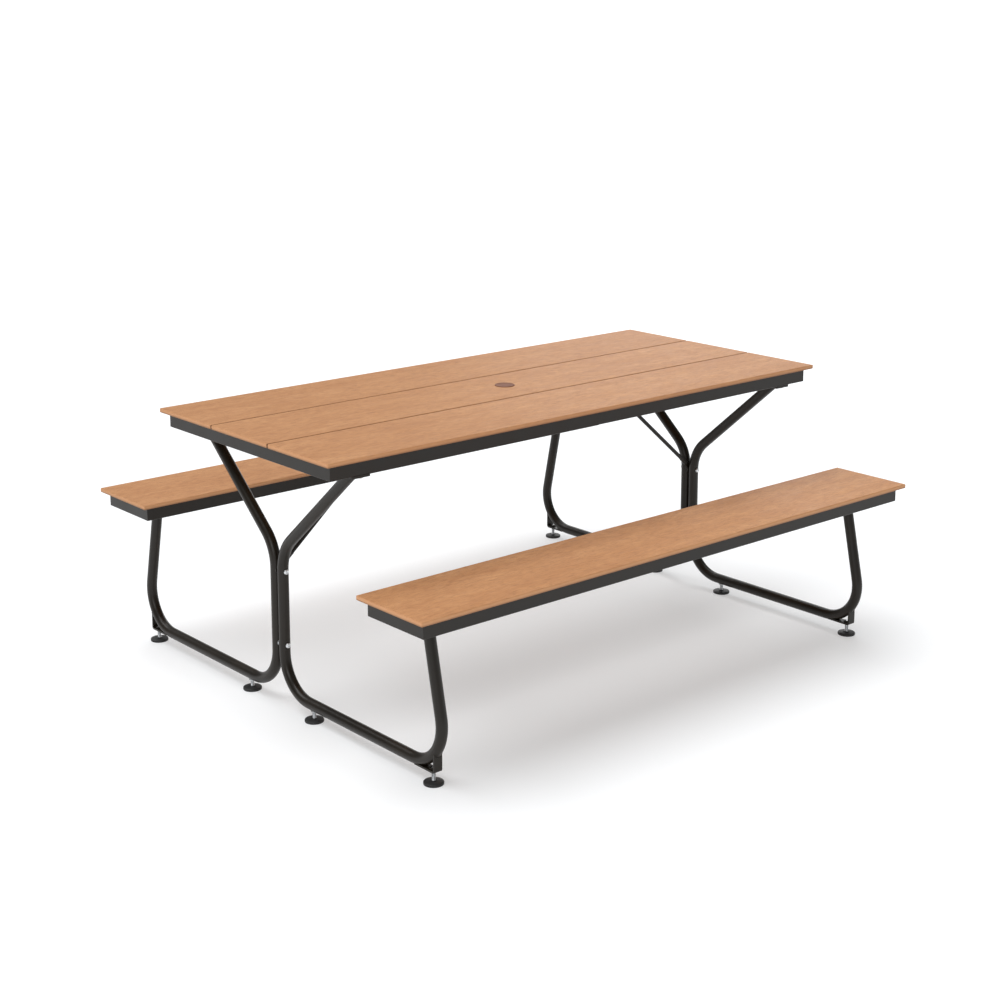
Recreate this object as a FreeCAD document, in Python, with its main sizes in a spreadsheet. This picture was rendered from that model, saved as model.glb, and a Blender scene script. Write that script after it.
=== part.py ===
"""Picnic table with two attached benches: a parametric FreeCAD document, in millimetres.

+X runs along the table, +Y across it, +Z up, and the origin is on the floor under the middle.
"west" and "east" are the -X and +X ends; "left" and "right" are the +Y and -Y sides.
"""

import FreeCAD, Part
import math
import os

import Sketcher
from FreeCAD import Placement, Rotation, Vector

SIZES = {
    # Boards of the table top and the seats
    "BoardLength": 1800,
    "BoardThick": 12,
    "BoardRound": 2.5,
    "TopBoardWidth": 259,
    "TopBoardGap": 4,
    "TopHeight": 762,
    "SeatBoardWidth": 252,
    "SeatHeight": 462,
    "SeatCentre": 624,
    # Rectangular tube frames under the boards
    "Overhang": 20,
    "RailDepth": 40,
    "RailWidth": 20,
    "RailWall": 1.5,
    "RailRound": 2,
    "LegRailX": 785,
    "BraceRailX": 385,
    "CentreRailX": 90,
    # Bent round tubes of the end frames, each half lying in the plane X = LegRailX
    "TubeDiameter": 30,
    "TubeWall": 1.5,
    "PostGap": 3,
    "RunHeight": 43.5,
    "LegCorner": 703.5,
    "LegLean": 12,
    "PostCorner": 434.5,
    "ArmRise": 40.8,
    "LegBend": 110,
    "PostBend": 110,
    "ArmBend": 120,
    "TubeSpare": 30,
    # Welded plates that carry the frames
    "PlateLength": 56,
    "PlateThick": 6,
    "PlateRound": 5,
    "ArmPlateWidth": 100,
    "SeatPlateWidth": 120,
    "ArmBoltInner": 284,
    "ArmBoltOuter": 362.5,
    "SeatBoltSpread": 40,
    # Flat bar corner brackets over the outer feet
    "BarWidth": 25,
    "BarThick": 5,
    "BarFace": 663,
    "BarTop": 84,
    "BarUnder": 33,
    "BarEnd": 585,
    "BarBend": 8,
    # Levelling feet
    "OuterFoot": 645,
    "InnerFoot": 147,
    "PadDiameter": 51,
    "PadRim": 7,
    "PadCrown": 10,
    "PadNeck": 18,
    "PadFloor": 2,
    "StudDiameter": 10,
    "StudTop": 43.5,
    "StudFlange": 16,
    "StudFlangeThick": 3,
    "RunningGap": 0.05,
    "BracketNutAcross": 17,
    "BracketNutHeight": 5,
    "InsertDiameter": 14,
    "InsertFlange": 18,
    "InsertFlangeThick": 1.5,
    "InsertTop": 39.5,
    # Braces from the posts up to the brace rails
    "BraceDiameter": 12,
    "BraceRise": 40.8,
    "BraceLift": 5,
    "BraceStart": 24,
    "BraceRodLength": 469,
    "BraceThick": 3,
    "BraceEye": 24,
    "BraceTongueWidth": 14,
    "BraceTongueLength": 55,
    "BraceTabWidth": 22,
    "BraceTabReach": 31,
    # Bolts and screws
    "BoltDiameter": 8,
    "BoltHole": 8.5,
    "BoltHead": 17,
    "BoltHeadHeight": 2.6,
    "BoltReach": 18,
    "UpperBolt": 378,
    "LowerBolt": 175,
    "ThroughHead": 14,
    "ThroughHeadHeight": 4.5,
    "ThroughTip": 6,
    "BarrelReach": 18,
    "BarrelHeadHeight": 2,
    "SpacerDiameter": 20,
    "ScrewDiameter": 5,
    "ScrewHead": 10,
    "ScrewHeadHeight": 3,
    "ScrewBite": 8,
    "ScrewOuterNear": 165,
    "ScrewOuterFar": 250,
    "ScrewCentre": 90,
    "ScrewSeat": 70,
    # Umbrella sleeve and its lift-out cap
    "SleeveDiameter": 50,
    "SleeveBore": 42,
    "SleeveFlange": 66,
    "SleeveFlangeThick": 3,
    "SleeveTail": 9,
    "CapDiameter": 58,
    "CapThick": 2,
    "CapSkirt": 12,
    "CapSkirtWall": 2.5,
}

ENDS = {"west": -1, "east": 1}
SIDES = {"left": 1, "right": -1}

doc = FreeCAD.newDocument("PicnicTable")
nodes = []


# ---------------------------------------------------------------- helpers

def fill_sheet():
    """Write every driving size into the spreadsheet, one named cell to a row."""
    sheet = doc.addObject("Spreadsheet::Sheet", "Sizes")
    for row, (name, value) in enumerate(SIZES.items(), start=1):
        sheet.set(f"A{row}", name)
        sheet.set(f"B{row}", str(value))
        sheet.setAlias(f"B{row}", name)
    doc.recompute()
    return sheet


def size(formula):
    """The number that a formula of sheet names gives, such as '<<Sizes>>.TopHeight / 2'."""
    result = sheet.evalExpression(formula)
    return float(getattr(result, "Value", result))


def bind(thing, **formulas):
    """Tie properties of an object to formulas; '__' in a name stands for a dot."""
    for name, formula in formulas.items():
        thing.setExpression(name.replace("__", "."), formula)


def node(thing, label, position=(0, 0, 0), turn=0):
    """Name a finished sub-part, place it and list it for export."""
    thing.Label = label
    thing.Placement = Placement(Vector(*position), Rotation(Vector(0, 0, 1), turn))
    nodes.append(thing)
    return thing


def place(thing, x=None, y=None, z=None):
    """Bind the coordinates of an object's place to formulas."""
    for axis, formula in (("x", x), ("y", y), ("z", z)):
        if formula:
            thing.setExpression(f"Placement.Base.{axis}", formula)


def new_body(name):
    return doc.addObject("PartDesign::Body", name)


def new_sketch(body, plane="XY_Plane", lift=None):
    """A sketch on one of the body's own origin planes, lifted off it by a formula."""
    sketch = body.newObject("Sketcher::SketchObject", "Sketch")
    origin_plane = next(f for f in body.Origin.OriginFeatures if f.Role == plane)
    sketch.AttachmentSupport = [(origin_plane, "")]
    sketch.MapMode = "FlatFace"
    if lift:
        sketch.setExpression("AttachmentOffset.Base.z", lift)
    return sketch


def pin_point(sketch, geometry, end, x, y):
    """Hold one point of a sketch at two formulas, measured from the sketch's origin."""
    for kind, formula in (("DistanceX", x), ("DistanceY", y)):
        index = sketch.addConstraint(Sketcher.Constraint(kind, -1, 1, geometry, end, size(formula)))
        sketch.setExpression(f"Constraints[{index}]", formula)


def add_outline(sketch, corners):
    """A closed outline of straight lines; each corner is a pair of formulas."""
    points = [Vector(size(x), size(y), 0) for x, y in corners]
    first = sketch.GeometryCount
    count = len(points)
    for k, start in enumerate(points):
        sketch.addGeometry(Part.LineSegment(start, points[(k + 1) % count]))
    for k, (x, y) in enumerate(corners):
        following = first + (k + 1) % count
        sketch.addConstraint(Sketcher.Constraint("Coincident", first + k, 2, following, 1))
        pin_point(sketch, first + k, 1, x, y)


def add_rectangle(sketch, width, height):
    """A rectangle about the sketch's origin."""
    across, up = f"({width}) / 2", f"({height}) / 2"
    add_outline(sketch, [(f"-{across}", f"-{up}"), (across, f"-{up}"), (across, up), (f"-{across}", up)])


def add_circle(sketch, diameter, x="0", y="0"):
    """A circle whose centre and diameter are formulas."""
    centre = Vector(size(x), size(y), 0)
    index = sketch.addGeometry(Part.Circle(centre, Vector(0, 0, 1), size(diameter) / 2))
    ring = sketch.addConstraint(Sketcher.Constraint("Diameter", index, size(diameter)))
    sketch.setExpression(f"Constraints[{ring}]", diameter)
    pin_point(sketch, index, 3, x, y)


def pad(body, sketch, length, both_ways=False):
    feature = body.newObject("PartDesign::Pad", "Pad")
    feature.Profile = sketch
    feature.Midplane = both_ways
    bind(feature, Length=length)
    doc.recompute()
    return feature


def cut_through(body, sketch):
    """Cut a sketch out of the whole body, both ways from its plane, and see that it did cut."""
    before = body.Shape.Volume
    feature = body.newObject("PartDesign::Pocket", "Pocket")
    feature.Profile = sketch
    feature.Type = 1
    feature.Midplane = True
    doc.recompute()
    if body.Shape.Volume > before - 1e-3:
        raise RuntimeError(f"{body.Name}: a pocket cuts nothing")
    return feature


def cut_upward(body, sketch, depth):
    """Cut blind holes from a sketch on the underside up into the body."""
    before = body.Shape.Volume
    feature = body.newObject("PartDesign::Pocket", "Pocket")
    feature.Profile = sketch
    feature.Reversed = True
    bind(feature, Length=depth)
    doc.recompute()
    if body.Shape.Volume > before - 1e-3:
        raise RuntimeError(f"{body.Name}: a blind hole cuts nothing")
    return feature


def round_edges(body, radius, wanted):
    """Fillet the edges of the body's tip that a test picks out."""
    base = body.Tip
    names = [f"Edge{k}" for k, edge in enumerate(base.Shape.Edges, start=1) if wanted(edge)]
    feature = body.newObject("PartDesign::Fillet", "Fillet")
    feature.Base = (base, names)
    bind(feature, Radius=radius)
    doc.recompute()
    return feature


def revolve(body, sketch):
    """Turn a sketch in the XZ plane about the body's Z axis."""
    feature = body.newObject("PartDesign::Revolution", "Revolution")
    feature.Profile = sketch
    feature.ReferenceAxis = (sketch, ["V_Axis"])
    feature.Angle = 360
    doc.recompute()
    return feature


def along(axis):
    """A test for straight edges that run along one axis."""
    def test(edge):
        if not isinstance(edge.Curve, Part.Line):
            return False
        direction = edge.tangentAt(edge.FirstParameter)
        return abs(abs(getattr(direction, axis)) - 1) < 1e-6
    return test


def cylinder(name, diameter, length, at, tilt=Rotation()):
    """A round bar whose diameter and length are formulas, from a point along a tilted Z."""
    bar = doc.addObject("Part::Cylinder", name)
    bind(bar, Radius=f"({diameter}) / 2", Height=length)
    bar.Placement = Placement(Vector(*at), tilt)
    return bar


def fuse(name, pieces):
    """One solid out of several that touch or overlap."""
    result = doc.addObject("Part::MultiFuse", name)
    result.Shapes = pieces
    doc.recompute()
    return result


def cut(name, base, tools):
    """A solid less one or more tools."""
    result = doc.addObject("Part::Cut", name)
    result.Base = base
    result.Tool = tools[0] if len(tools) == 1 else fuse(f"{name}Tools", tools)
    doc.recompute()
    return result


def group(name, placed):
    """Separate solids of one sub-part: pairs of a parametric master piece and its place."""
    copies = []
    for master, where in placed:
        copy = master.Shape.copy()
        copy.Placement = where.multiply(copy.Placement)
        copies.append(copy)
    thing = doc.addObject("Part::Feature", name)
    thing.Shape = Part.Compound(copies)
    return node(thing, name)


def repeat(name, master, turn, x=None, y=None, z=None):
    """One more copy of a master piece, as a sub-part of its own."""
    thing = doc.addObject("Part::Compound", name)
    thing.Links = [master]
    node(thing, name, turn=turn)
    place(thing, x, y, z)
    return thing


def at(x, y, z, turn=0):
    return Placement(Vector(x, y, z), Rotation(Vector(0, 0, 1), turn))


def corners(x, y, z, ends=(-1, 1)):
    """The same place at both ends and on both sides; the right side is turned round."""
    return [at(end * x, side * y, z, 0 if side > 0 else 180) for end in ends for side in (1, -1)]


sheet = fill_sheet()
S = "<<Sizes>>."

TOP_UNDERSIDE = f"({S}TopHeight - {S}BoardThick)"
SEAT_UNDERSIDE = f"({S}SeatHeight - {S}BoardThick)"
TOP_RAIL_UNDERSIDE = f"({TOP_UNDERSIDE} - {S}RailDepth)"
SEAT_RAIL_UNDERSIDE = f"({SEAT_UNDERSIDE} - {S}RailDepth)"
TOP_WIDTH = f"(3 * {S}TopBoardWidth + 2 * {S}TopBoardGap)"
FRAME_LENGTH = f"({S}BoardLength - 2 * {S}Overhang)"
TOP_FRAME_WIDTH = f"({TOP_WIDTH} - 2 * {S}Overhang)"
SEAT_FRAME_WIDTH = f"({S}SeatBoardWidth - 2 * {S}Overhang)"
BOARD_PITCH = f"({S}TopBoardWidth + {S}TopBoardGap)"
TUBE_OFFSET = f"(({S}TubeDiameter + {S}PostGap) / 2)"
TUBE_UNDERSIDE = f"({S}RunHeight - {S}TubeDiameter / 2)"

RAILS_X = [f"{S}LegRailX", f"{S}BraceRailX", f"{S}CentreRailX"]
SEAT_RAILS_X = [f"{S}LegRailX", "0"]


def both_signs(formulas):
    """Each formula with a minus and a plus sign; a zero stays single."""
    signed = []
    for formula in formulas:
        signed += [formula] if formula == "0" else [f"-({formula})", formula]
    return signed


# ---------------------------------------------------------------- boards

def board(label, width, screw_xs, screw_ys, hole=None):
    """A flat composite board with rounded edges and pilot holes for its screws underneath."""
    body = new_body(label)
    outline = new_sketch(body)
    add_rectangle(outline, f"{S}BoardLength", width)
    pad(body, outline, f"{S}BoardThick")
    if hole:
        opening = new_sketch(body)
        add_circle(opening, hole)
        cut_through(body, opening)
    round_edges(body, f"{S}BoardRound", lambda edge: isinstance(edge.Curve, Part.Line))
    pilots = new_sketch(body)
    for x in screw_xs:
        for y in screw_ys:
            add_circle(pilots, f"{S}ScrewDiameter", x, y)
    cut_upward(body, pilots, f"{S}ScrewBite")
    return body


def make_boards():
    screw_xs = both_signs(RAILS_X)
    outer = [f"({S}ScrewOuterNear - {BOARD_PITCH})", f"({S}ScrewOuterFar - {BOARD_PITCH})"]
    centre = both_signs([f"{S}ScrewCentre"])
    body = board("table_board_centre", f"{S}TopBoardWidth", screw_xs, centre, f"{S}SleeveDiameter")
    node(body, "table_board_centre")
    place(body, z=TOP_UNDERSIDE)
    for side, sign in SIDES.items():
        body = board(f"table_board_{side}", f"{S}TopBoardWidth", screw_xs, outer)
        node(body, f"table_board_{side}", turn=0 if sign > 0 else 180)
        place(body, y=f"{sign} * {BOARD_PITCH}", z=TOP_UNDERSIDE)
    for side, sign in SIDES.items():
        seat_screws = both_signs([f"{S}ScrewSeat"])
        body = board(f"seat_board_{side}", f"{S}SeatBoardWidth", both_signs(SEAT_RAILS_X), seat_screws)
        node(body, f"seat_board_{side}")
        place(body, y=f"{sign} * {S}SeatCentre", z=SEAT_UNDERSIDE)


# ---------------------------------------------------------------- rectangular tube frames

def rail_body(name, length):
    """Rectangular tube along its local X: hollow, with rounded outer corners, standing on z = 0."""
    body = new_body(name)
    section = new_sketch(body, "YZ_Plane")
    half = f"{S}RailWidth / 2"
    wall = f"{S}RailWall"
    add_outline(section, [(f"-{half}", "0"), (half, "0"), (half, f"{S}RailDepth"),
                          (f"-{half}", f"{S}RailDepth")])
    add_outline(section, [(f"-({half} - {wall})", wall), (f"{half} - {wall}", wall),
                          (f"{half} - {wall}", f"{S}RailDepth - {wall}"),
                          (f"-({half} - {wall})", f"{S}RailDepth - {wall}")])
    pad(body, section, length, both_ways=True)
    lengthwise = along("x")
    outer = size(half) - 1e-3

    def is_outer(edge):
        return lengthwise(edge) and abs(edge.Vertexes[0].Point.y) > outer
    round_edges(body, f"{S}RailRound", is_outer)
    return body


def mitred_rail(label, length, holes=()):
    """A frame side: a rail with both ends cut at 45 degrees, long on its local +Y face."""
    body = rail_body(label, length)
    mitres = new_sketch(body)
    half, far = f"({length}) / 2", f"{S}RailWidth / 2"
    for sign in ("-", ""):
        add_outline(mitres, [(f"{sign}({half} - {S}RailWidth - 1)", f"-{far} - 1"),
                             (f"{sign}({half} + 1)", f"{far} + 1"),
                             (f"{sign}({half} + 1)", f"-{far} - 1")])
    cut_through(body, mitres)
    drill(body, holes)
    return body


def drill(body, holes):
    """Round holes straight down through a rail; each is a diameter, x and y."""
    if holes:
        sketch = new_sketch(body)
        for diameter, x, y in holes:
            add_circle(sketch, diameter, x, y)
        cut_through(body, sketch)


def straight_rail(label, length, holes):
    """A square-ended rail that runs across a frame, between its sides."""
    body = rail_body(label, length)
    drill(body, holes)
    return body


def make_frame(prefix, sides, length, width, underside, centre, side_holes=()):
    """Four mitred rails round a table or seat frame whose middle is at y = centre."""
    for side, sign in sides.items():
        body = mitred_rail(f"{prefix}_side_rail_{side}", length, side_holes)
        node(body, f"{prefix}_side_rail_{side}", turn=0 if sign > 0 else 180)
        place(body, y=f"{centre} + {sign} * ({width} - {S}RailWidth) / 2", z=underside)
    for end, sign in ENDS.items():
        body = mitred_rail(f"{prefix}_end_rail_{end}", width)
        node(body, f"{prefix}_end_rail_{end}", turn=-90 * sign)
        place(body, x=f"{sign} * ({length} - {S}RailWidth) / 2", y=centre, z=underside)


def make_table_frame():
    bolts = [(f"{S}BoltDiameter", x, "0") for x in both_signs([f"{S}LegRailX"])]
    make_frame("table", SIDES, FRAME_LENGTH, TOP_FRAME_WIDTH, TOP_RAIL_UNDERSIDE, "0", bolts)
    length = f"({TOP_FRAME_WIDTH} - 2 * {S}RailWidth)"
    screw_ys = both_signs([f"{S}ScrewCentre", f"{S}ScrewOuterNear", f"{S}ScrewOuterFar"])
    screws = [(f"{S}ScrewDiameter", y, "0") for y in screw_ys]
    arm_bolts = [(f"{S}BoltDiameter", y, "0") for y in both_signs([f"{S}ArmBoltInner"])]
    brace_bolt = [(f"{S}BoltDiameter", "0", "0")]
    for end, sign in ENDS.items():
        for name, x, extra in (("leg", "LegRailX", arm_bolts), ("brace", "BraceRailX", brace_bolt)):
            body = straight_rail(f"table_{name}_rail_{end}", length, screws + extra)
            node(body, f"table_{name}_rail_{end}", turn=90)
            place(body, x=f"{sign} * {S}{x}", z=TOP_RAIL_UNDERSIDE)
    master = straight_rail("CentreRail", length, screws)
    x, z = size(f"{S}CentreRailX"), size(TOP_RAIL_UNDERSIDE)
    group("table_centre_rails", [(master, at(sign * x, 0, z, 90)) for sign in (-1, 1)])


def make_seat_frames():
    """Two seat frames, each with a cross rail over either leg and one in the middle."""
    length = f"({SEAT_FRAME_WIDTH} - 2 * {S}RailWidth)"
    screws = [(f"{S}ScrewDiameter", y, "0") for y in both_signs([f"{S}ScrewSeat"])]
    bolts = [(f"{S}BoltDiameter", y, "0") for y in both_signs([f"{S}SeatBoltSpread"])]
    leg_rail = straight_rail("SeatLegRail", length, screws + bolts)
    middle_rail = straight_rail("SeatMiddleRail", length, screws)
    level = size(SEAT_RAIL_UNDERSIDE)
    for side, sign in SIDES.items():
        centre = f"{sign} * {S}SeatCentre"
        sides = {"outer": sign, "inner": -sign}
        make_frame(f"seat_{side}", sides, FRAME_LENGTH, SEAT_FRAME_WIDTH, SEAT_RAIL_UNDERSIDE, centre)
        y, x = size(centre), size(f"{S}LegRailX")
        rails = [(leg_rail, -x), (middle_rail, 0), (leg_rail, x)]
        group(f"seat_{side}_cross_rails", [(rail, at(where, y, level, 90)) for rail, where in rails])


# ---------------------------------------------------------------- bent tube end frames

LEG_END = f"({SEAT_RAIL_UNDERSIDE} - {S}PlateThick)"
ARM_END = f"({TOP_RAIL_UNDERSIDE} - {S}PlateThick)"
LEG_TAN = f"tan({S}LegLean * 1 deg)"
ARM_TAN = f"tan({S}ArmRise * 1 deg)"
LEG_TOP_Y = f"({S}LegCorner - {LEG_TAN} * ({LEG_END} + {S}TubeSpare - {S}RunHeight))"
ARM_TOP_Y = f"({TUBE_OFFSET} + ({ARM_END} + {S}TubeSpare - {S}PostCorner) / {ARM_TAN})"


def tube_path():
    """The centre line of a bent tube, drawn in the YZ plane: sketch x is +Y, sketch y is +Z.

    Seat leg, bend, floor run, bend, post, bend, arm.  Both open ends run on past the plates they
    meet by TubeSpare, and are trimmed there.
    """
    sketch = doc.addObject("Sketcher::SketchObject", "TubePath")
    sketch.Placement = Placement(Vector(), Rotation(Vector(1, 1, 1), 120))
    corner_formulas = [
        (LEG_TOP_Y, f"{LEG_END} + {S}TubeSpare"),
        (f"{S}LegCorner", f"{S}RunHeight"),
        (TUBE_OFFSET, f"{S}RunHeight"),
        (TUBE_OFFSET, f"{S}PostCorner"),
        (ARM_TOP_Y, f"{ARM_END} + {S}TubeSpare"),
    ]
    points = [Vector(size(x), size(y), 0) for x, y in corner_formulas]
    bends = [f"{S}LegBend", f"{S}PostBend", f"{S}ArmBend"]
    start = points[0]
    for k, bend in enumerate(bends, start=1):
        radius = size(bend)
        back = (points[k - 1] - points[k]).normalize()
        onward = (points[k + 1] - points[k]).normalize()
        half_angle = back.getAngle(onward) / 2
        reach = radius / math.tan(half_angle)
        bisector = (back + onward).normalize()
        middle = points[k] + bisector * (radius / math.sin(half_angle) - radius)
        last = points[k] + onward * reach
        sketch.addGeometry(Part.LineSegment(start, points[k] + back * reach))
        sketch.addGeometry(Part.Arc(points[k] + back * reach, middle, last))
        start = last
    sketch.addGeometry(Part.LineSegment(start, points[-1]))

    for k, bend in enumerate(bends):
        line, arc, following = 2 * k, 2 * k + 1, 2 * k + 2
        meets = sketch.getPoint(line, 2)
        near = 1 if sketch.getPoint(arc, 1).distanceToPoint(meets) < 1e-6 else 2
        sketch.addConstraint(Sketcher.Constraint("Tangent", line, 2, arc, near))
        sketch.addConstraint(Sketcher.Constraint("Tangent", arc, 3 - near, following, 1))
        index = sketch.addConstraint(Sketcher.Constraint("Radius", arc, size(bend)))
        sketch.setExpression(f"Constraints[{index}]", bend)
    leg, run, post, arm = 0, 2, 4, 6
    sketch.addConstraint(Sketcher.Constraint("Horizontal", run))
    sketch.addConstraint(Sketcher.Constraint("Vertical", post))
    for line, formula in ((leg, f"{S}LegLean - 90"), (arm, f"{S}ArmRise")):
        turn = math.radians(size(formula))
        index = sketch.addConstraint(Sketcher.Constraint("Angle", line, turn))
        sketch.setExpression(f"Constraints[{index}]", f"({formula}) * 1 deg")
    for kind, line, formula in (("DistanceY", run, f"{S}RunHeight"), ("DistanceX", post, TUBE_OFFSET)):
        index = sketch.addConstraint(Sketcher.Constraint(kind, -1, 1, line, 1, size(formula)))
        sketch.setExpression(f"Constraints[{index}]", formula)
    pin_point(sketch, leg, 1, *corner_formulas[0])
    pin_point(sketch, arm, 2, *corner_formulas[-1])
    doc.recompute()
    return sketch


def swept_bar(name, path, diameter):
    """A solid round bar along the tube path, started square to the seat leg."""
    ring = doc.addObject("Part::Circle", f"{name}Section")
    bind(ring, Radius=f"({diameter}) / 2")
    ring.Placement = Placement(Vector(), Rotation(Vector(1, 0, 0), 180 + SIZES["LegLean"]))
    place(ring, y=LEG_TOP_Y, z=f"{LEG_END} + {S}TubeSpare")
    sweep = doc.addObject("Part::Sweep", name)
    sweep.Sections = [ring]
    sweep.Spine = (path, [f"Edge{k}" for k in range(1, path.GeometryCount + 1)])
    sweep.Solid = True
    sweep.Frenet = False
    doc.recompute()
    return sweep


def trimming_box(name, middle_y, bottom):
    """A block that cuts a tube off square to the floor at one height."""
    box = doc.addObject("Part::Box", name)
    bind(box, Length=f"4 * {S}TubeDiameter", Width=f"6 * {S}TubeDiameter", Height=f"3 * {S}TubeSpare")
    place(box, f"-2 * {S}TubeDiameter", f"{middle_y} - 3 * {S}TubeDiameter", bottom)
    return box


def make_tubes():
    """The four bent tubes: a left and a right half at each end, all from one master."""
    path = tube_path()
    outer = swept_bar("TubeOutside", path, f"{S}TubeDiameter")
    inner = swept_bar("TubeInside", path, f"{S}TubeDiameter - 2 * {S}TubeWall")
    hollow = cut("TubeHollow", outer, [inner])
    tools = [trimming_box("LegTrim", LEG_TOP_Y, LEG_END), trimming_box("ArmTrim", ARM_TOP_Y, ARM_END)]
    sideways = Rotation(Vector(1, 0, 0), -90)
    for level in ("UpperBolt", "LowerBolt"):
        hole = cylinder(f"{level}Hole", f"{S}BoltHole", f"2 * {S}TubeDiameter", (0, 0, 0), sideways)
        place(hole, z=f"{S}{level}")
        tools.append(hole)
    insert = cylinder("InsertHole", f"{S}InsertDiameter", f"{S}TubeDiameter", (0, 0, 0))
    place(insert, y=f"{S}InnerFoot", z=f"{S}RunHeight - {S}TubeDiameter")
    tools.append(insert)
    tube = cut("Tube", hollow, tools)
    for end, sign in ENDS.items():
        for side, across in SIDES.items():
            turn = 0 if across > 0 else 180
            repeat(f"frame_tube_{end}_{side}", tube, turn, x=f"{sign} * {S}LegRailX")
    return outer


def plate(name, width, holes):
    """A flat welded plate with rounded corners, long across the table, its underside at z = 0."""
    body = new_body(name)
    outline = new_sketch(body)
    add_rectangle(outline, f"{S}PlateLength", width)
    pad(body, outline, f"{S}PlateThick")
    round_edges(body, f"{S}PlateRound", along("z"))
    drill(body, [(f"{S}BoltHole", "0", y) for y in holes])
    return body


def make_plates():
    """Plates welded on the arms, under the table frame, and on the legs, under the seat frames."""
    arm_middle = f"(({TOP_FRAME_WIDTH} - {S}ArmPlateWidth) / 2)"
    arm_holes = [f"{S}ArmBoltInner - {arm_middle}", f"{S}ArmBoltOuter - {arm_middle}"]
    arm_plate = plate("ArmPlate", f"{S}ArmPlateWidth", arm_holes)
    seat_plate = plate("SeatPlate", f"{S}SeatPlateWidth", both_signs([f"{S}SeatBoltSpread"]))
    x = size(f"{S}LegRailX")
    for end, sign in ENDS.items():
        spots = corners(x, size(arm_middle), size(ARM_END), [sign])
        group(f"arm_plates_{end}", [(arm_plate, spot) for spot in spots])
        spots = corners(x, size(f"{S}SeatCentre"), size(LEG_END), [sign])
        group(f"seat_plates_{end}", [(seat_plate, spot) for spot in spots])


def make_brackets(tube):
    """Bent flat bars that square off the lower outer bends and take the outer feet."""
    body = new_body("Bracket")
    profile = new_sketch(body, "YZ_Plane")
    face, under = f"{S}BarFace", f"{S}BarUnder"
    add_outline(profile, [
        (f"{S}BarEnd", under),
        (face, under),
        (face, f"{S}BarTop"),
        (f"{face} - {S}BarThick", f"{S}BarTop"),
        (f"{face} - {S}BarThick", f"{under} + {S}BarThick"),
        (f"{S}BarEnd", f"{under} + {S}BarThick"),
    ])
    pad(body, profile, f"{S}BarWidth", both_ways=True)

    def bend_line(y, z):
        crosswise = along("x")

        def test(edge):
            point = edge.Vertexes[0].Point
            return crosswise(edge) and abs(point.y - size(y)) < 1e-3 and abs(point.z - size(z)) < 1e-3
        return test
    round_edges(body, f"{S}BarBend", bend_line(face, under))
    inside = bend_line(f"{face} - {S}BarThick", f"{under} + {S}BarThick")
    round_edges(body, f"{S}BarBend - {S}BarThick", inside)
    drill(body, [(f"{S}StudDiameter + 2 * {S}RunningGap", "0", f"{S}OuterFoot")])
    bracket = cut("BracketCoped", body, [tube])
    spots = corners(size(f"{S}LegRailX"), 0, 0)
    group("foot_brackets", [(bracket, spot) for spot in spots])


def make_braces():
    """A round rod from each post up to the table frame, flattened at its foot.

    The flat foot widens into an eye that the posts' upper bolt holds between them, and passes
    BraceLift above that bolt.  A flat tab on the upper end is bolted under the brace rail.
    """
    lean = Rotation(Vector(0, 1, 0), size(f"{S}BraceRise") - 90)
    sideways = Rotation(Vector(1, 0, 0), -90)
    half_thick = size(f"{S}BraceThick") / 2
    bolt = Vector(size(f"{S}LegRailX"), 0, size(f"{S}UpperBolt"))
    foot = bolt + Vector(0, 0, size(f"{S}BraceLift"))
    rod_start = foot + lean.multVec(Vector(0, 0, size(f"{S}BraceStart")))
    rod = cylinder("BraceRod", f"{S}BraceDiameter", f"{S}BraceRodLength", rod_start, lean)

    tongue = doc.addObject("Part::Box", "BraceTongue")
    bind(tongue, Length=f"{S}BraceTongueWidth", Width=f"{S}BraceThick", Height=f"{S}BraceTongueLength")
    corner = foot + lean.multVec(Vector(-size(f"{S}BraceTongueWidth") / 2, -half_thick, 0))
    tongue.Placement = Placement(corner, lean)
    eye = cylinder("BraceEye", f"{S}BraceEye", f"{S}BraceThick", bolt - Vector(0, half_thick, 0), sideways)

    rail_x, underside = size(f"{S}BraceRailX"), size(TOP_RAIL_UNDERSIDE)
    level = underside - 2 * half_thick
    tab = doc.addObject("Part::Box", "BraceTab")
    bind(tab, Length=f"{S}BraceTabReach", Width=f"{S}BraceTabWidth", Height=f"{S}BraceThick")
    tab.Placement = at(rail_x, -size(f"{S}BraceTabWidth") / 2, level)
    tab_end = cylinder("BraceTabEnd", f"{S}BraceTabWidth", f"{S}BraceThick", (rail_x, 0, level))

    parts = fuse("BraceParts", [rod, tongue, eye, tab, tab_end])
    reach = size(f"{S}BraceDiameter")
    lower = cylinder("BraceLowerHole", f"{S}BoltHole", f"2 * {S}BraceDiameter",
                     bolt - Vector(0, reach, 0), sideways)
    upper = cylinder("BraceUpperHole", f"{S}BoltHole", f"2 * {S}BraceDiameter",
                     (rail_x, 0, underside - reach))
    brace = cut("Brace", parts, [lower, upper])
    for end, sign in ENDS.items():
        repeat(f"brace_{end}", brace, 0 if sign > 0 else 180)


# ---------------------------------------------------------------- turned pieces

def turned(name, profile, fillets=()):
    """A piece turned about Z from an outline of (radius, height) formulas.

    Each fillet is a radius formula and the (radius, height) of the circular edge that it rounds.
    """
    body = new_body(name)
    sketch = new_sketch(body, "XZ_Plane")
    add_outline(sketch, profile)
    revolve(body, sketch)
    for radius, (across, up) in fillets:
        def picked(edge, across=size(across), up=size(up)):
            if not isinstance(edge.Curve, Part.Circle):
                return False
            return abs(edge.Curve.Radius - across) < 1e-3 and abs(edge.Curve.Center.z - up) < 1e-3
        round_edges(body, radius, picked)
    return body


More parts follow.
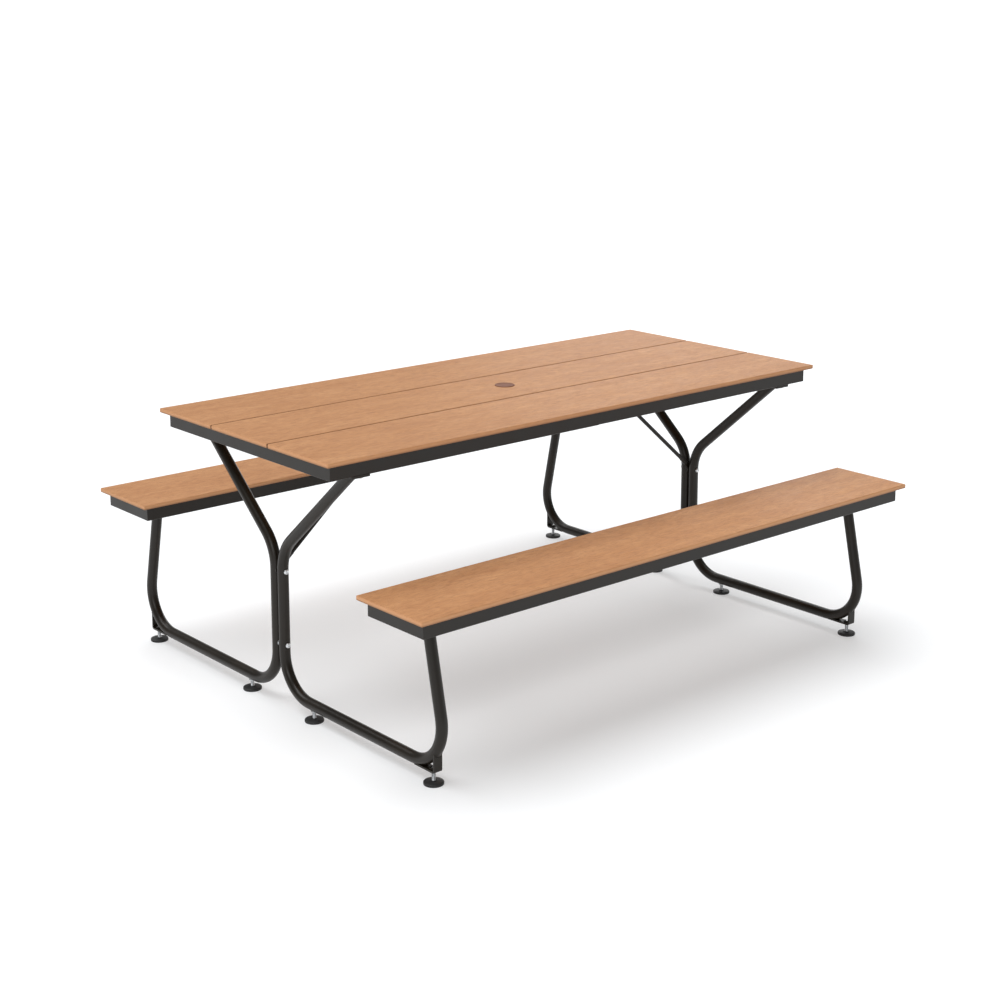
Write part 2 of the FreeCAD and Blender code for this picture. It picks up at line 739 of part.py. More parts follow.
def make_umbrella_fittings():
    """A flanged plastic sleeve in the centre board, and the cap that closes it."""
    outer, bore = f"{S}SleeveDiameter / 2", f"{S}SleeveBore / 2"
    flange, thick = f"{S}SleeveFlange / 2", f"{S}SleeveFlangeThick"
    sleeve = turned("umbrella_sleeve", [
        (bore, f"-{S}SleeveTail"), (outer, f"-{S}SleeveTail"), (outer, f"-{thick}"),
        (flange, f"-{thick}"), (flange, "0"), (outer, "0"), (outer, f"{S}BoardThick"),
        (bore, f"{S}BoardThick")])
    node(sleeve, "umbrella_sleeve")
    place(sleeve, z=TOP_UNDERSIDE)
    skirt = f"{bore} - {S}RunningGap"
    rim = f"{S}CapDiameter / 2"
    cap = turned("umbrella_cap", [
        ("0", "0"), (f"{skirt} - {S}CapSkirtWall", "0"), (f"{skirt} - {S}CapSkirtWall", f"-{S}CapSkirt"),
        (skirt, f"-{S}CapSkirt"), (skirt, "0"), (rim, "0"), (rim, f"{S}CapThick"),
        ("0", f"{S}CapThick")], [("1.5", (rim, f"{S}CapThick"))])
    node(cap, "umbrella_cap")
    place(cap, z=f"{S}TopHeight")


def make_feet():
    """Eight levelling feet: a moulded pad that holds the flange of a threaded stud."""
    gap = f"{S}RunningGap"
    stud, flange = f"{S}StudDiameter / 2", f"{S}StudFlange / 2"
    seat_top = f"{S}PadFloor + {S}StudFlangeThick + 2 * {gap}"
    pad_radius = f"{S}PadDiameter / 2"
    pad_piece = turned("FootPad", [
        ("0", "0"), (pad_radius, "0"), (pad_radius, f"{S}PadRim"), (f"{S}PadNeck / 2", f"{S}PadCrown"),
        (f"{stud} + {gap}", f"{S}PadCrown"), (f"{stud} + {gap}", seat_top),
        (f"{flange} + {gap}", seat_top), (f"{flange} + {gap}", f"{S}PadFloor"), ("0", f"{S}PadFloor")],
        [("1", (pad_radius, "0")), ("2", (pad_radius, f"{S}PadRim")),
         ("1", (f"{S}PadNeck / 2", f"{S}PadCrown"))])
    flange_top = f"{S}PadFloor + {gap} + {S}StudFlangeThick"
    stud_piece = turned("FootStud", [
        ("0", f"{S}PadFloor + {gap}"), (flange, f"{S}PadFloor + {gap}"), (flange, flange_top),
        (stud, flange_top), (stud, f"{S}StudTop - 1"), (f"{stud} - 1", f"{S}StudTop"),
        ("0", f"{S}StudTop")])
    for end, sign in ENDS.items():
        for side, across in SIDES.items():
            for place_name, y in (("outer", "OuterFoot"), ("inner", "InnerFoot")):
                spot = {"x": f"{sign} * {S}LegRailX", "y": f"{across} * {S}{y}"}
                repeat(f"foot_pad_{end}_{side}_{place_name}", pad_piece, 0, **spot)
                repeat(f"foot_stud_{end}_{side}_{place_name}", stud_piece, 0, **spot)


def make_stud_nuts():
    """Weld nuts on the brackets, and flanged inserts in the tubes over the inner feet."""
    bore = f"({S}StudDiameter + 2 * {S}RunningGap)"
    hexagon = doc.addObject("Part::Prism", "NutHexagon")
    hexagon.Polygon = 6
    bind(hexagon, Circumradius=f"{S}BracketNutAcross / 2 / cos(30 deg)", Height=f"{S}BracketNutHeight")
    thread = cylinder("NutBore", bore, f"2 * {S}BracketNutHeight", (0, 0, 0))
    place(thread, z=f"-{S}BracketNutHeight / 2")
    nut = cut("BracketNut", hexagon, [thread])
    x = size(f"{S}LegRailX")
    level = size(f"{S}BarUnder + {S}BarThick")
    group("bracket_nuts", [(nut, spot) for spot in corners(x, size(f"{S}OuterFoot"), level)])

    under = f"{TUBE_UNDERSIDE} - {S}InsertFlangeThick"
    insert = turned("TubeInsert", [
        (f"{bore} / 2", under), (f"{S}InsertFlange / 2", under), (f"{S}InsertFlange / 2", TUBE_UNDERSIDE),
        (f"{S}InsertDiameter / 2", TUBE_UNDERSIDE), (f"{S}InsertDiameter / 2", f"{S}InsertTop"),
        (f"{bore} / 2", f"{S}InsertTop")])
    group("tube_inserts", [(insert, spot) for spot in corners(x, size(f"{S}InnerFoot"), 0)])


# ---------------------------------------------------------------- fasteners

def make_mounting_bolts():
    """Flat-headed bolts, heads down: two in each arm and seat plate, and one in each brace."""
    shank, head, below = f"{S}BoltDiameter / 2", f"{S}BoltHead / 2", f"-{S}BoltHeadHeight"
    bolt = turned("MountingBolt", [
        ("0", below), (head, below), (head, "0"), (shank, "0"), (shank, f"{S}BoltReach"),
        ("0", f"{S}BoltReach")], [("1.5", (head, below))])
    x, seat = size(f"{S}LegRailX"), size(f"{S}SeatCentre")
    spots = []
    for y in (size(f"{S}ArmBoltInner"), size(f"{S}ArmBoltOuter")):
        spots += corners(x, y, size(ARM_END))
    for shift in (-1, 1):
        spots += corners(x, seat + shift * size(f"{S}SeatBoltSpread"), size(LEG_END))
    tab = size(f"{TOP_RAIL_UNDERSIDE} - {S}BraceThick")
    spots += [at(sign * size(f"{S}BraceRailX"), 0, tab) for sign in (-1, 1)]
    group("mounting_bolts", [(bolt, spot) for spot in spots])


def make_through_bolts():
    """Button-head bolts through both posts, their barrel nuts, and the spacers at the lower pair."""
    half = f"({TUBE_OFFSET} + {S}TubeDiameter / 2)"
    shank, head, tip = f"{S}BoltDiameter / 2", f"{S}ThroughHead / 2", f"{S}ThroughTip / 2"
    barrel_start = f"{half} - {S}BarrelReach"
    bolt = turned("ThroughBolt", [
        ("0", f"-{half} - {S}ThroughHeadHeight"), (head, f"-{half} - {S}ThroughHeadHeight"),
        (head, f"-{half}"), (shank, f"-{half}"), (shank, barrel_start), (tip, barrel_start),
        (tip, half), ("0", half)],
        [("3", (head, f"-{half} - {S}ThroughHeadHeight"))])
    nut = turned("BarrelNut", [
        (tip, barrel_start), (shank, barrel_start), (shank, half), (head, half),
        (head, f"{half} + {S}BarrelHeadHeight"), ("0", f"{half} + {S}BarrelHeadHeight"),
        ("0", half), (tip, half)],
        [("1.2", (head, f"{half} + {S}BarrelHeadHeight"))])
    spacer_disc = cylinder("SpacerDisc", f"{S}SpacerDiameter", f"{S}PostGap", (0, 0, 0))
    place(spacer_disc, z=f"-{S}PostGap / 2")
    spacer_hole = cylinder("SpacerHole", f"{S}BoltHole", f"2 * {S}PostGap", (0, 0, 0))
    place(spacer_hole, z=f"-{S}PostGap")
    spacer = cut("Spacer", spacer_disc, [spacer_hole])

    def crosswise(z):
        """Places at both ends where a piece's own Z points along +Y."""
        turned_over = Rotation(Vector(1, 0, 0), -90)
        x = size(f"{S}LegRailX")
        return [Placement(Vector(sign * x, 0, z), turned_over) for sign in (-1, 1)]
    upper, lower = crosswise(size(f"{S}UpperBolt")), crosswise(size(f"{S}LowerBolt"))
    group("through_bolts", [(bolt, spot) for spot in upper + lower])
    group("through_bolt_nuts", [(nut, spot) for spot in upper + lower])
    group("post_spacers", [(spacer, spot) for spot in lower])


def make_board_screws():
    """Pan-head screws up through every cross rail into the boards above it."""
    shank, head = f"{S}ScrewDiameter / 2", f"{S}ScrewHead / 2"
    tip = f"{S}RailDepth + {S}ScrewBite"
    screw = turned("BoardScrew", [
        ("0", f"-{S}ScrewHeadHeight"), (head, f"-{S}ScrewHeadHeight"), (head, "0"), (shank, "0"),
        (shank, f"{tip} - {S}ScrewDiameter"), ("0.5", tip), ("0", tip)],
        [("1.5", (head, f"-{S}ScrewHeadHeight"))])
    spots = []
    for x in both_signs(RAILS_X):
        for y in both_signs([f"{S}ScrewCentre", f"{S}ScrewOuterNear", f"{S}ScrewOuterFar"]):
            spots.append(at(size(x), size(y), size(TOP_RAIL_UNDERSIDE)))
    for x in both_signs(SEAT_RAILS_X):
        for side in SIDES.values():
            for shift in (-1, 1):
                y = side * size(f"{S}SeatCentre") + shift * size(f"{S}ScrewSeat")
                spots.append(at(size(x), y, size(SEAT_RAIL_UNDERSIDE)))
    group("board_screws", [(screw, spot) for spot in spots])


# ---------------------------------------------------------------- build and export

def check_document():
    """Stop if any object failed to recompute or any sub-part is not a sound solid."""
    for thing in doc.Objects:
        if any(word in thing.State for word in ("Invalid", "Error")):
            raise RuntimeError(f"{thing.Label}: {thing.State}")
    for thing in nodes:
        shape = thing.Shape
        if shape.isNull() or not shape.isValid() or not shape.Solids:
            raise RuntimeError(f"{thing.Label}: not a valid solid")
    if len({thing.Label for thing in nodes}) != len(nodes):
        raise RuntimeError("two sub-parts share a name")


def export():
    os.makedirs("parts", exist_ok=True)
    for thing in nodes:
        thing.Shape.exportStep(os.path.join("parts", f"{thing.Label}.step"))


make_boards()
make_table_frame()
make_seat_frames()
tube_solid = make_tubes()
make_plates()
make_brackets(tube_solid)
make_braces()
make_umbrella_fittings()
make_feet()
make_stud_nuts()
make_mounting_bolts()
make_through_bolts()
make_board_screws()
doc.recompute()
check_document()
export()
print(f"{len(nodes)} sub-parts")
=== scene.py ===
"""Looks of a picnic table with two attached benches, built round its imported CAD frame.

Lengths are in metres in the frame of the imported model: +X along the table, +Y across it, +Z up.
MM turns a size given in millimetres into metres.
"""

import logging
import math
from collections.abc import Callable, Iterator, Sequence
from dataclasses import dataclass
from enum import Enum, auto

import bmesh
import bpy
from mathutils import Matrix, Vector


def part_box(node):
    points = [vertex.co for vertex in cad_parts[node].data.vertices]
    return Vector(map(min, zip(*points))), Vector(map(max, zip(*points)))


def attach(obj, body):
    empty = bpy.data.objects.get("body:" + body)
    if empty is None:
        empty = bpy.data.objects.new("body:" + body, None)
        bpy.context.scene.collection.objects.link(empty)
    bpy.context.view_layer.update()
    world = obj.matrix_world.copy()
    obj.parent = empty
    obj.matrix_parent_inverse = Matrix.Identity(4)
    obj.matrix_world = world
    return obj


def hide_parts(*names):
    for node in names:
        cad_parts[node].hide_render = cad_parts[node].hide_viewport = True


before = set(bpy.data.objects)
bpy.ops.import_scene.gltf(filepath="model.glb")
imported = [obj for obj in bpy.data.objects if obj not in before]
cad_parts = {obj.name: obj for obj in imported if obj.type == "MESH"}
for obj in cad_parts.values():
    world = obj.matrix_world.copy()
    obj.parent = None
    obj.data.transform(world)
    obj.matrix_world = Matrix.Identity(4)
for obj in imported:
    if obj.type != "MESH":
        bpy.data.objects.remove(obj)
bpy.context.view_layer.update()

MM = 0.001
TABLE = "table"
# A Mix node's colour sockets share their names with its number sockets, so they go by number.
MIX_FACTOR, MIX_A, MIX_B, MIX_RESULT = 0, 6, 7, 2
UP = Vector((0.0, 0.0, 1.0))
TOWARD_LEFT = Vector((0.0, 1.0, 0.0))
TOWARD_RIGHT = Vector((0.0, -1.0, 0.0))
TOUCH = 0.05 * MM  # places nearer to each other than this count as one
Node, Socket, Tree = bpy.types.Node, bpy.types.NodeSocket, bpy.types.NodeTree
log = logging.getLogger("picnic_table")


# ---------------------------------------------------------------- colour and nodes

def linear(code: str) -> tuple[float, float, float, float]:
    """Turn an sRGB hex colour into linear light.

    Args:
        code: The colour, such as "#B68A66".

    Returns:
        Red, green, blue and an alpha of 1.
    """
    shares = [int(code[k:k + 2], 16) / 255 for k in (1, 3, 5)]
    light = [s / 12.92 if s <= 0.04045 else ((s + 0.055) / 1.055) ** 2.4 for s in shares]
    return (*light, 1.0)


def add_node(tree: Tree, kind: str, inputs: dict | None = None, **settings: object) -> Node:
    """Add one node, with its settings and what goes into its sockets.

    Args:
        tree: The node tree that it joins.
        kind: Blender's name for the type of node.
        inputs: Socket name or number, and the value or the output socket that feeds it.
        **settings: Properties of the node itself.

    Returns:
        The new node.
    """
    node = tree.nodes.new(kind)
    for name, value in settings.items():
        setattr(node, name, value)
    for name, value in (inputs or {}).items():
        if isinstance(value, Socket):
            tree.links.new(value, node.inputs[name])
        else:
            node.inputs[name].default_value = value
    return node


# ---------------------------------------------------------------- finishes

@dataclass(frozen=True)
class Mottle:
    """Soft patches or streaks of one real size, from 0 to 1.

    Attributes:
        length: Size along the table, in millimetres.
        width: Size across the table and upwards, in millimetres.
        detail: How many finer sizes are laid over it.
        distortion: How far the patches curl.
        contrast: Half the spread of raw noise that is stretched to the full 0 to 1.
    """

    length: float
    width: float
    detail: float = 2.0
    distortion: float = 0.0
    contrast: float = 0.2

    def add(self, tree: Tree, coords: Socket) -> Socket:
        """Add the pattern to a tree.

        Args:
            tree: The material's node tree.
            coords: Places on the piece, in metres.

        Returns:
            The socket that gives 0 to 1.
        """
        across = 1 / (self.width * MM)
        scale = (1 / (self.length * MM), across, across)
        scaled = add_node(tree, "ShaderNodeMapping", {"Vector": coords, "Scale": scale})
        noise = add_node(tree, "ShaderNodeTexNoise", {
            "Vector": scaled.outputs[0], "Scale": 1.0, "Detail": self.detail,
            "Distortion": self.distortion})
        spread = add_node(tree, "ShaderNodeMapRange", {
            "Value": noise.outputs[0], "From Min": 0.5 - self.contrast,
            "From Max": 0.5 + self.contrast})
        return spread.outputs["Result"]


@dataclass(frozen=True)
class Finish:
    """A real material with the surface that its making leaves.

    Attributes:
        name: What the material is called.
    """

    name: str

    def material(self) -> bpy.types.Material:
        """Give the material, which is built the first time that it is asked for.

        Returns:
            The one material of this finish.
        """
        known = bpy.data.materials.get(self.name)
        if known:
            return known
        made = bpy.data.materials.new(self.name)
        made.use_nodes = True
        self.dress(made.node_tree, made.node_tree.nodes["Principled BSDF"])
        return made

    def dress(self, tree: Tree, shader: Node) -> None:
        """Fill in the shader; each finish has its own way.

        Args:
            tree: The material's node tree.
            shader: Its Principled BSDF.
        """
        raise NotImplementedError

    def blend(self, tree: Tree, pattern: Socket, share: float, first: Socket | tuple,
              second: tuple) -> Socket:
        """Lay one colour over another where a pattern is strong.

        Args:
            tree: The material's node tree.
            pattern: The pattern, from 0 to 1.
            share: How much of the second colour shows at its strongest.
            first: The colour below.
            second: The colour laid over it.

        Returns:
            The socket of the mixed colour.
        """
        amount = add_node(tree, "ShaderNodeMath", {0: pattern, 1: share}, operation="MULTIPLY")
        mixed = add_node(tree, "ShaderNodeMix", {
            MIX_FACTOR: amount.outputs[0], MIX_A: first, MIX_B: second}, data_type="RGBA")
        return mixed.outputs[MIX_RESULT]

    def surface(self, tree: Tree, shader: Node, colour: Socket, gloss: Socket,
                roughness: tuple[float, float], relief: Socket, depth: float,
                strength: float) -> None:
        """Lead colour, gloss and relief to the shader.

        Args:
            tree: The material's node tree.
            shader: Its Principled BSDF.
            colour: The colour.
            gloss: The pattern that the roughness follows, from 0 to 1.
            roughness: The roughness where that pattern is 0, and where it is 1.
            relief: The pattern that the height of the surface follows.
            depth: How deep the relief is, in metres.
            strength: How much of it shows.
        """
        rough = add_node(tree, "ShaderNodeMapRange", {
            "Value": gloss, "To Min": roughness[0], "To Max": roughness[1]})
        bump = add_node(tree, "ShaderNodeBump", {
            "Height": relief, "Distance": depth, "Strength": strength})
        tree.links.new(colour, shader.inputs["Base Color"])
        tree.links.new(rough.outputs["Result"], shader.inputs["Roughness"])
        tree.links.new(bump.outputs["Normal"], shader.inputs["Normal"])


@dataclass(frozen=True)
class PressedBoard(Finish):
    """Wood-fibre composite board, extruded and pressed with a wood grain.

    It gives the eye a warm tan with soft streaks along the board, fine dark pores that also lie
    slightly sunk, and paler pinkish sides: partly the colour the saw opens in the board, partly
    painted light on sides that get less light. Painted shade darkens its lower edges, underside and
    seam walls.

    Attributes:
        phase: How far along the pattern this board was cut, in metres.
        top: Height of its top face, in metres.
        seam: How far the seams lie from the table's middle line; 0 for a board without seams.
        seam_half: Half the width of a seam.
        tan: Colour of most of the pressed face.
        streak: Colour of its darker clouds.
        pale: Colour of its lighter bands and streaks.
        pore: Colour of the pores.
        core_and_edge_light: Colour of the sides, partly the colour the saw opens in the board,
            partly painted light.
        under: Colour of the painted shade along the lower edges and on the underside.
        seam_shade: Colour of the painted shade in the seams.
        roughness: Its least and greatest roughness.
        pore_depth: How deep the grain is pressed.
        mirror: Specular level; open pores scatter part of the mirror reflection.
    """

    phase: float = 0.0
    top: float = 0.0
    seam: float = 0.0
    seam_half: float = 0.0
    tan: str = "#B37F53"
    streak: str = "#9B643C"
    pale: str = "#C39063"
    pore: str = "#7D4F30"
    core_and_edge_light: str = "#D39B6E"
    under: str = "#6A452C"
    seam_shade: str = "#4A2E1D"
    roughness: tuple[float, float] = (0.48, 0.64)
    pore_depth: float = 0.2 * MM
    mirror: float = 0.38

    def dress(self, tree: Tree, shader: Node) -> None:
        """Lay pores over streaks over broad bands, then pale the sides partly with painted light,
        and paint shade low on the board and in the seams.

        Args:
            tree: The material's node tree.
            shader: Its Principled BSDF.
        """
        coords = add_node(tree, "ShaderNodeTexCoord").outputs["Object"]
        # The pattern runs on across the boards too, at another rate, so that none repeats.
        cut = add_node(tree, "ShaderNodeVectorMath", {
            0: coords, 1: (self.phase, self.phase * 0.61, 0.0)}, operation="ADD").outputs[0]
        bands = Mottle(380, 60, detail=2, distortion=0.6, contrast=0.22).add(tree, cut)
        clouds = Mottle(62, 26, detail=5, distortion=1.1, contrast=0.2).add(tree, cut)
        streaks = Mottle(95, 7, detail=4, distortion=1.4, contrast=0.2).add(tree, cut)
        # Real pores are 0.3 mm wide; they are drawn at 1.6 mm so that they show.
        pores = Mottle(24, 1.6, detail=2, distortion=0.5, contrast=0.13).add(tree, cut)

        colour = self.blend(tree, bands, 1.0, linear(self.tan), linear(self.pale))
        colour = self.blend(tree, clouds, 0.55, colour, linear(self.streak))
        colour = self.blend(tree, streaks, 0.4, colour, linear(self.pale))
        sunk = add_node(tree, "ShaderNodeMapRange", {
            "Value": pores, "From Min": 0.68, "From Max": 1.0})
        colour = self.blend(tree, sunk.outputs["Result"], 0.5, colour, linear(self.pore))

        height = add_node(tree, "ShaderNodeSeparateXYZ", {0: coords}).outputs["Z"]
        # The first band pales the sides: partly the colour the saw opens in the board, partly
        # painted light for sides that get less light.
        for start, end, share, tone in ((0.3 * MM, 2.5 * MM, 0.75, self.core_and_edge_light),
                                        # The second band is painted shade: it darkens the board
                                        # towards its lower edges and underside.
                                        (6.5 * MM, 10.5 * MM, 0.6, self.under)):
            below = add_node(tree, "ShaderNodeMapRange", {
                "Value": height, "From Min": self.top - start, "From Max": self.top - end})
            colour = self.blend(tree, below.outputs["Result"], share, colour, linear(tone))
        if self.seam:
            colour = self.shade_seams(tree, coords, colour)

        relief = add_node(tree, "ShaderNodeMath", {0: pores, 1: -0.6, 2: streaks},
                          operation="MULTIPLY_ADD").outputs[0]
        self.surface(tree, shader, colour, streaks, self.roughness, relief, self.pore_depth, 0.6)
        shader.inputs["IOR"].default_value = 1.48
        shader.inputs["Specular IOR Level"].default_value = self.mirror

    def shade_seams(self, tree: Tree, coords: Socket, colour: Socket) -> Socket:
        """Paint shade on the walls of the seams, which lie in shade in the narrow gaps.

        Args:
            tree: The material's node tree.
            coords: The board's own coordinates.
            colour: The colour of the board without the painted shade.

        Returns:
            The socket of the colour with the painted shade.
        """
        across = add_node(tree, "ShaderNodeSeparateXYZ", {0: coords}).outputs["Y"]
        aside = add_node(tree, "ShaderNodeMath", {0: across}, operation="ABSOLUTE")
        past = add_node(tree, "ShaderNodeMath", {0: aside.outputs[0], 1: self.seam},
                        operation="SUBTRACT")
        wall = add_node(tree, "ShaderNodeMath", {0: past.outputs[0]}, operation="ABSOLUTE")
        # Painted shade: the walls of the seams are darkened towards the seam colour.
        shaded_walls = add_node(tree, "ShaderNodeMapRange", {
            "Value": wall.outputs[0], "From Min": self.seam_half + 1.0 * MM,
            "From Max": self.seam_half + 0.2 * MM})
        return self.blend(tree, shaded_walls.outputs["Result"], 0.8, colour, linear(self.seam_shade))


@dataclass(frozen=True)
class PowderCoat(Finish):
    """Polyester powder coat, baked on mild steel.

    It gives the eye a satin charcoal with broad soft highlights, broken up close by the shallow
    orange peel of the melted powder.

    Attributes:
        deep: Colour of most of the coat.
        worn: Colour where it has chalked a little.
        roughness: Its least and greatest roughness.
        peel: Size of one dimple of the orange peel, in millimetres.
        peel_depth: How deep a dimple is.
        mirror: Specular level; the matting agent takes about a third off the mirror reflection.
    """

    deep: str = "#17120B"
    worn: str = "#201910"
    roughness: tuple[float, float] = (0.3, 0.4)
    # Real dimples are about 0.8 mm; they are drawn twice as large so that they show.
    peel: float = 1.6
    peel_depth: float = 0.05 * MM
    mirror: float = 0.34

    def dress(self, tree: Tree, shader: Node) -> None:
        """Drift the colour and gloss slowly, and dimple the surface.

        Args:
            tree: The material's node tree.
            shader: Its Principled BSDF.
        """
        coords = add_node(tree, "ShaderNodeTexCoord").outputs["Object"]
        drift = Mottle(90, 90, detail=3).add(tree, coords)
        dimples = Mottle(self.peel, self.peel, detail=1, contrast=0.25).add(tree, coords)
        colour = self.blend(tree, drift, 1.0, linear(self.deep), linear(self.worn))
        self.surface(tree, shader, colour, drift, self.roughness, dimples, self.peel_depth, 0.5)
        shader.inputs["IOR"].default_value = 1.5
        shader.inputs["Specular IOR Level"].default_value = self.mirror


@dataclass(frozen=True)
class ZincPlate(Finish):
    """Steel fastener, cold headed, rolled and bright zinc plated.

    It gives the eye a cool bright metal, clouded where the plating bath left it duller.

    Attributes:
        bright: Colour of the bright plating.
        dull: Colour of its clouds.
        roughness: Its least and greatest roughness.
        grain: Size of one grain of the plating, in millimetres.
        grain_depth: How deep the grain is.
    """

    bright: str = "#EEF0F1"
    dull: str = "#CDD0D3"
    roughness: tuple[float, float] = (0.25, 0.43)
    # Real grain is finer than 0.1 mm; it is drawn coarser so that it shows.
    grain: float = 0.7
    grain_depth: float = 0.02 * MM

    def dress(self, tree: Tree, shader: Node) -> None:
        """Cloud the metal and scatter its gloss.

        Args:
            tree: The material's node tree.
            shader: Its Principled BSDF.
        """
        coords = add_node(tree, "ShaderNodeTexCoord").outputs["Object"]
        clouds = Mottle(5, 5, detail=3).add(tree, coords)
        grain = Mottle(self.grain, self.grain, detail=1).add(tree, coords)
        colour = self.blend(tree, clouds, 1.0, linear(self.bright), linear(self.dull))
        self.surface(tree, shader, colour, clouds, self.roughness, grain, self.grain_depth, 0.4)
        shader.inputs["Metallic"].default_value = 1.0


@dataclass(frozen=True)
class MouldedPlastic(Finish):
    """Injection-moulded plastic with a spark-eroded mould texture.

    It gives the eye a dull even colour with a fine leathery grain and a slightly uneven gloss.

    Attributes:
        colour: Its colour.
        second: The colour that it drifts to along the flow of the melt.
        roughness: Its least and greatest roughness.
        spark: Size of one grain of the mould texture, in millimetres.
        spark_depth: How deep a grain is.
        ior: Its refractive index.
    """

    colour: str = "#151515"
    second: str = "#1F1F1F"
    roughness: tuple[float, float] = (0.45, 0.58)
    spark: float = 0.6
    spark_depth: float = 0.04 * MM
    ior: float = 1.53

    def dress(self, tree: Tree, shader: Node) -> None:
        """Grain the surface and drift its colour.

        Args:
            tree: The material's node tree.
            shader: Its Principled BSDF.
        """
        coords = add_node(tree, "ShaderNodeTexCoord").outputs["Object"]
        flow = Mottle(14, 9, detail=3, distortion=0.8).add(tree, coords)
        spark = Mottle(self.spark, self.spark, detail=2).add(tree, coords)
        colour = self.blend(tree, flow, 1.0, linear(self.colour), linear(self.second))
        self.surface(tree, shader, colour, spark, self.roughness, spark, self.spark_depth, 0.5)
        shader.inputs["IOR"].default_value = self.ior


@dataclass(frozen=True)
class LightTable(Finish):
    """Opal acrylic sheet, sanded matt and lit from below.

    It gives the eye a white floor, and takes the depth out of the shadows.

    Attributes:
        colour: Colour of the sheet.
        roughness: Its roughness.
        mirror: Specular level, low for sanded acrylic.
        glow: How bright the light from below makes it.
    """

    colour: str = "#CED0D2"
    roughness: float = 0.95
    mirror: float = 0.1
    glow: float = 0.38

    def dress(self, tree: Tree, shader: Node) -> None:
        """Give the sheet its one even tone and its glow.

        Args:
            tree: The material's node tree.
            shader: Its Principled BSDF.
        """
        shader.inputs["Base Color"].default_value = linear(self.colour)
        shader.inputs["Roughness"].default_value = self.roughness
        shader.inputs["Specular IOR Level"].default_value = self.mirror
        shader.inputs["Emission Color"].default_value = (1.0, 1.0, 1.0, 1.0)
        shader.inputs["Emission Strength"].default_value = self.glow


POWDER_COAT = PowderCoat("powder_coated_steel")
ZINC = ZincPlate("zinc_plated_steel")
BLACK_NYLON = MouldedPlastic("moulded_black_nylon")
BLACK_SLEEVE = MouldedPlastic(
    "moulded_black_polypropylene", "#1B1918", "#242120", (0.4, 0.53), ior=1.49)
BROWN_CAP = MouldedPlastic(
    "moulded_brown_polypropylene", "#704430", "#7D4F39", (0.55, 0.68), ior=1.49)


# ---------------------------------------------------------------- reading the frame

def cad_points(node: str) -> list[Vector]:
    """Give every mesh point of a CAD node at rest."""
    return [v.co.copy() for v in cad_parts[node].data.vertices]


def box_of(points: Sequence[Vector]) -> tuple[Vector, Vector]:
    """Give the lowest and highest corner round some points."""
    return tuple(Vector(pick(p[k] for p in points) for k in range(3)) for pick in (min, max))


def solids_of(node: str) -> list[tuple[Vector, Vector]]:
    """Find the separate solids of a CAD node.

    Args:
        node: The node's name.

    Returns:
        The lowest and highest corner of each solid, in order of x, y and z.
    """
    mesh = bmesh.new()
    mesh.from_mesh(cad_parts[node].data)
    bmesh.ops.remove_doubles(mesh, verts=mesh.verts, dist=0.01 * MM)
    unseen = set(mesh.verts)
    boxes = []
    while unseen:
        solid, edge = [], [unseen.pop()]
        while edge:
            point = edge.pop()
            solid.append(point.co)
            for link in point.link_edges:
                other = link.other_vert(point)
                if other in unseen:
                    unseen.remove(other)
                    edge.append(other)
        boxes.append(box_of(solid))
    mesh.free()
    return sorted(boxes, key=lambda box: tuple(round(c, 4) for c in box[0]))


# ---------------------------------------------------------------- mesh work

CROSS_ARM = 0.26  # half the width of a cross recess's arm, as a share of half its span


class Outline(Enum):
    """Shape of one ring of a turned or headed piece."""

    ROUND = auto()
    HEXAGON = auto()
    CROSS = auto()


@dataclass(frozen=True)
class Ring:
    """One ring of points round the Z axis.

    Attributes:
        height: Its height.
        reach: Its radius; half the size across flats of a hexagon; half the span of a cross.
        outline: Its shape.
        limit: A radius that it may not pass, which turns a hexagon's corners off.
    """

    height: float
    reach: float
    outline: Outline = Outline.ROUND
    limit: float = math.inf

    def radius(self, angle: float) -> float:
        """Give the distance from the axis to the ring.

        Args:
            angle: The direction, in radians.

        Returns:
            The distance in the ring's own units.
        """
        distance = self.reach
        if self.outline is Outline.HEXAGON:
            sector = math.pi / 3
            distance = self.reach / math.cos((angle + sector / 2) % sector - sector / 2)
        elif self.outline is Outline.CROSS:
            arm = CROSS_ARM * self.reach
            across = max(abs(math.cos(angle)), 1e-6)
            up = max(abs(math.sin(angle)), 1e-6)
            distance = max(min(self.reach / across, arm / up), min(arm / across, self.reach / up))
        return min(distance, self.limit)


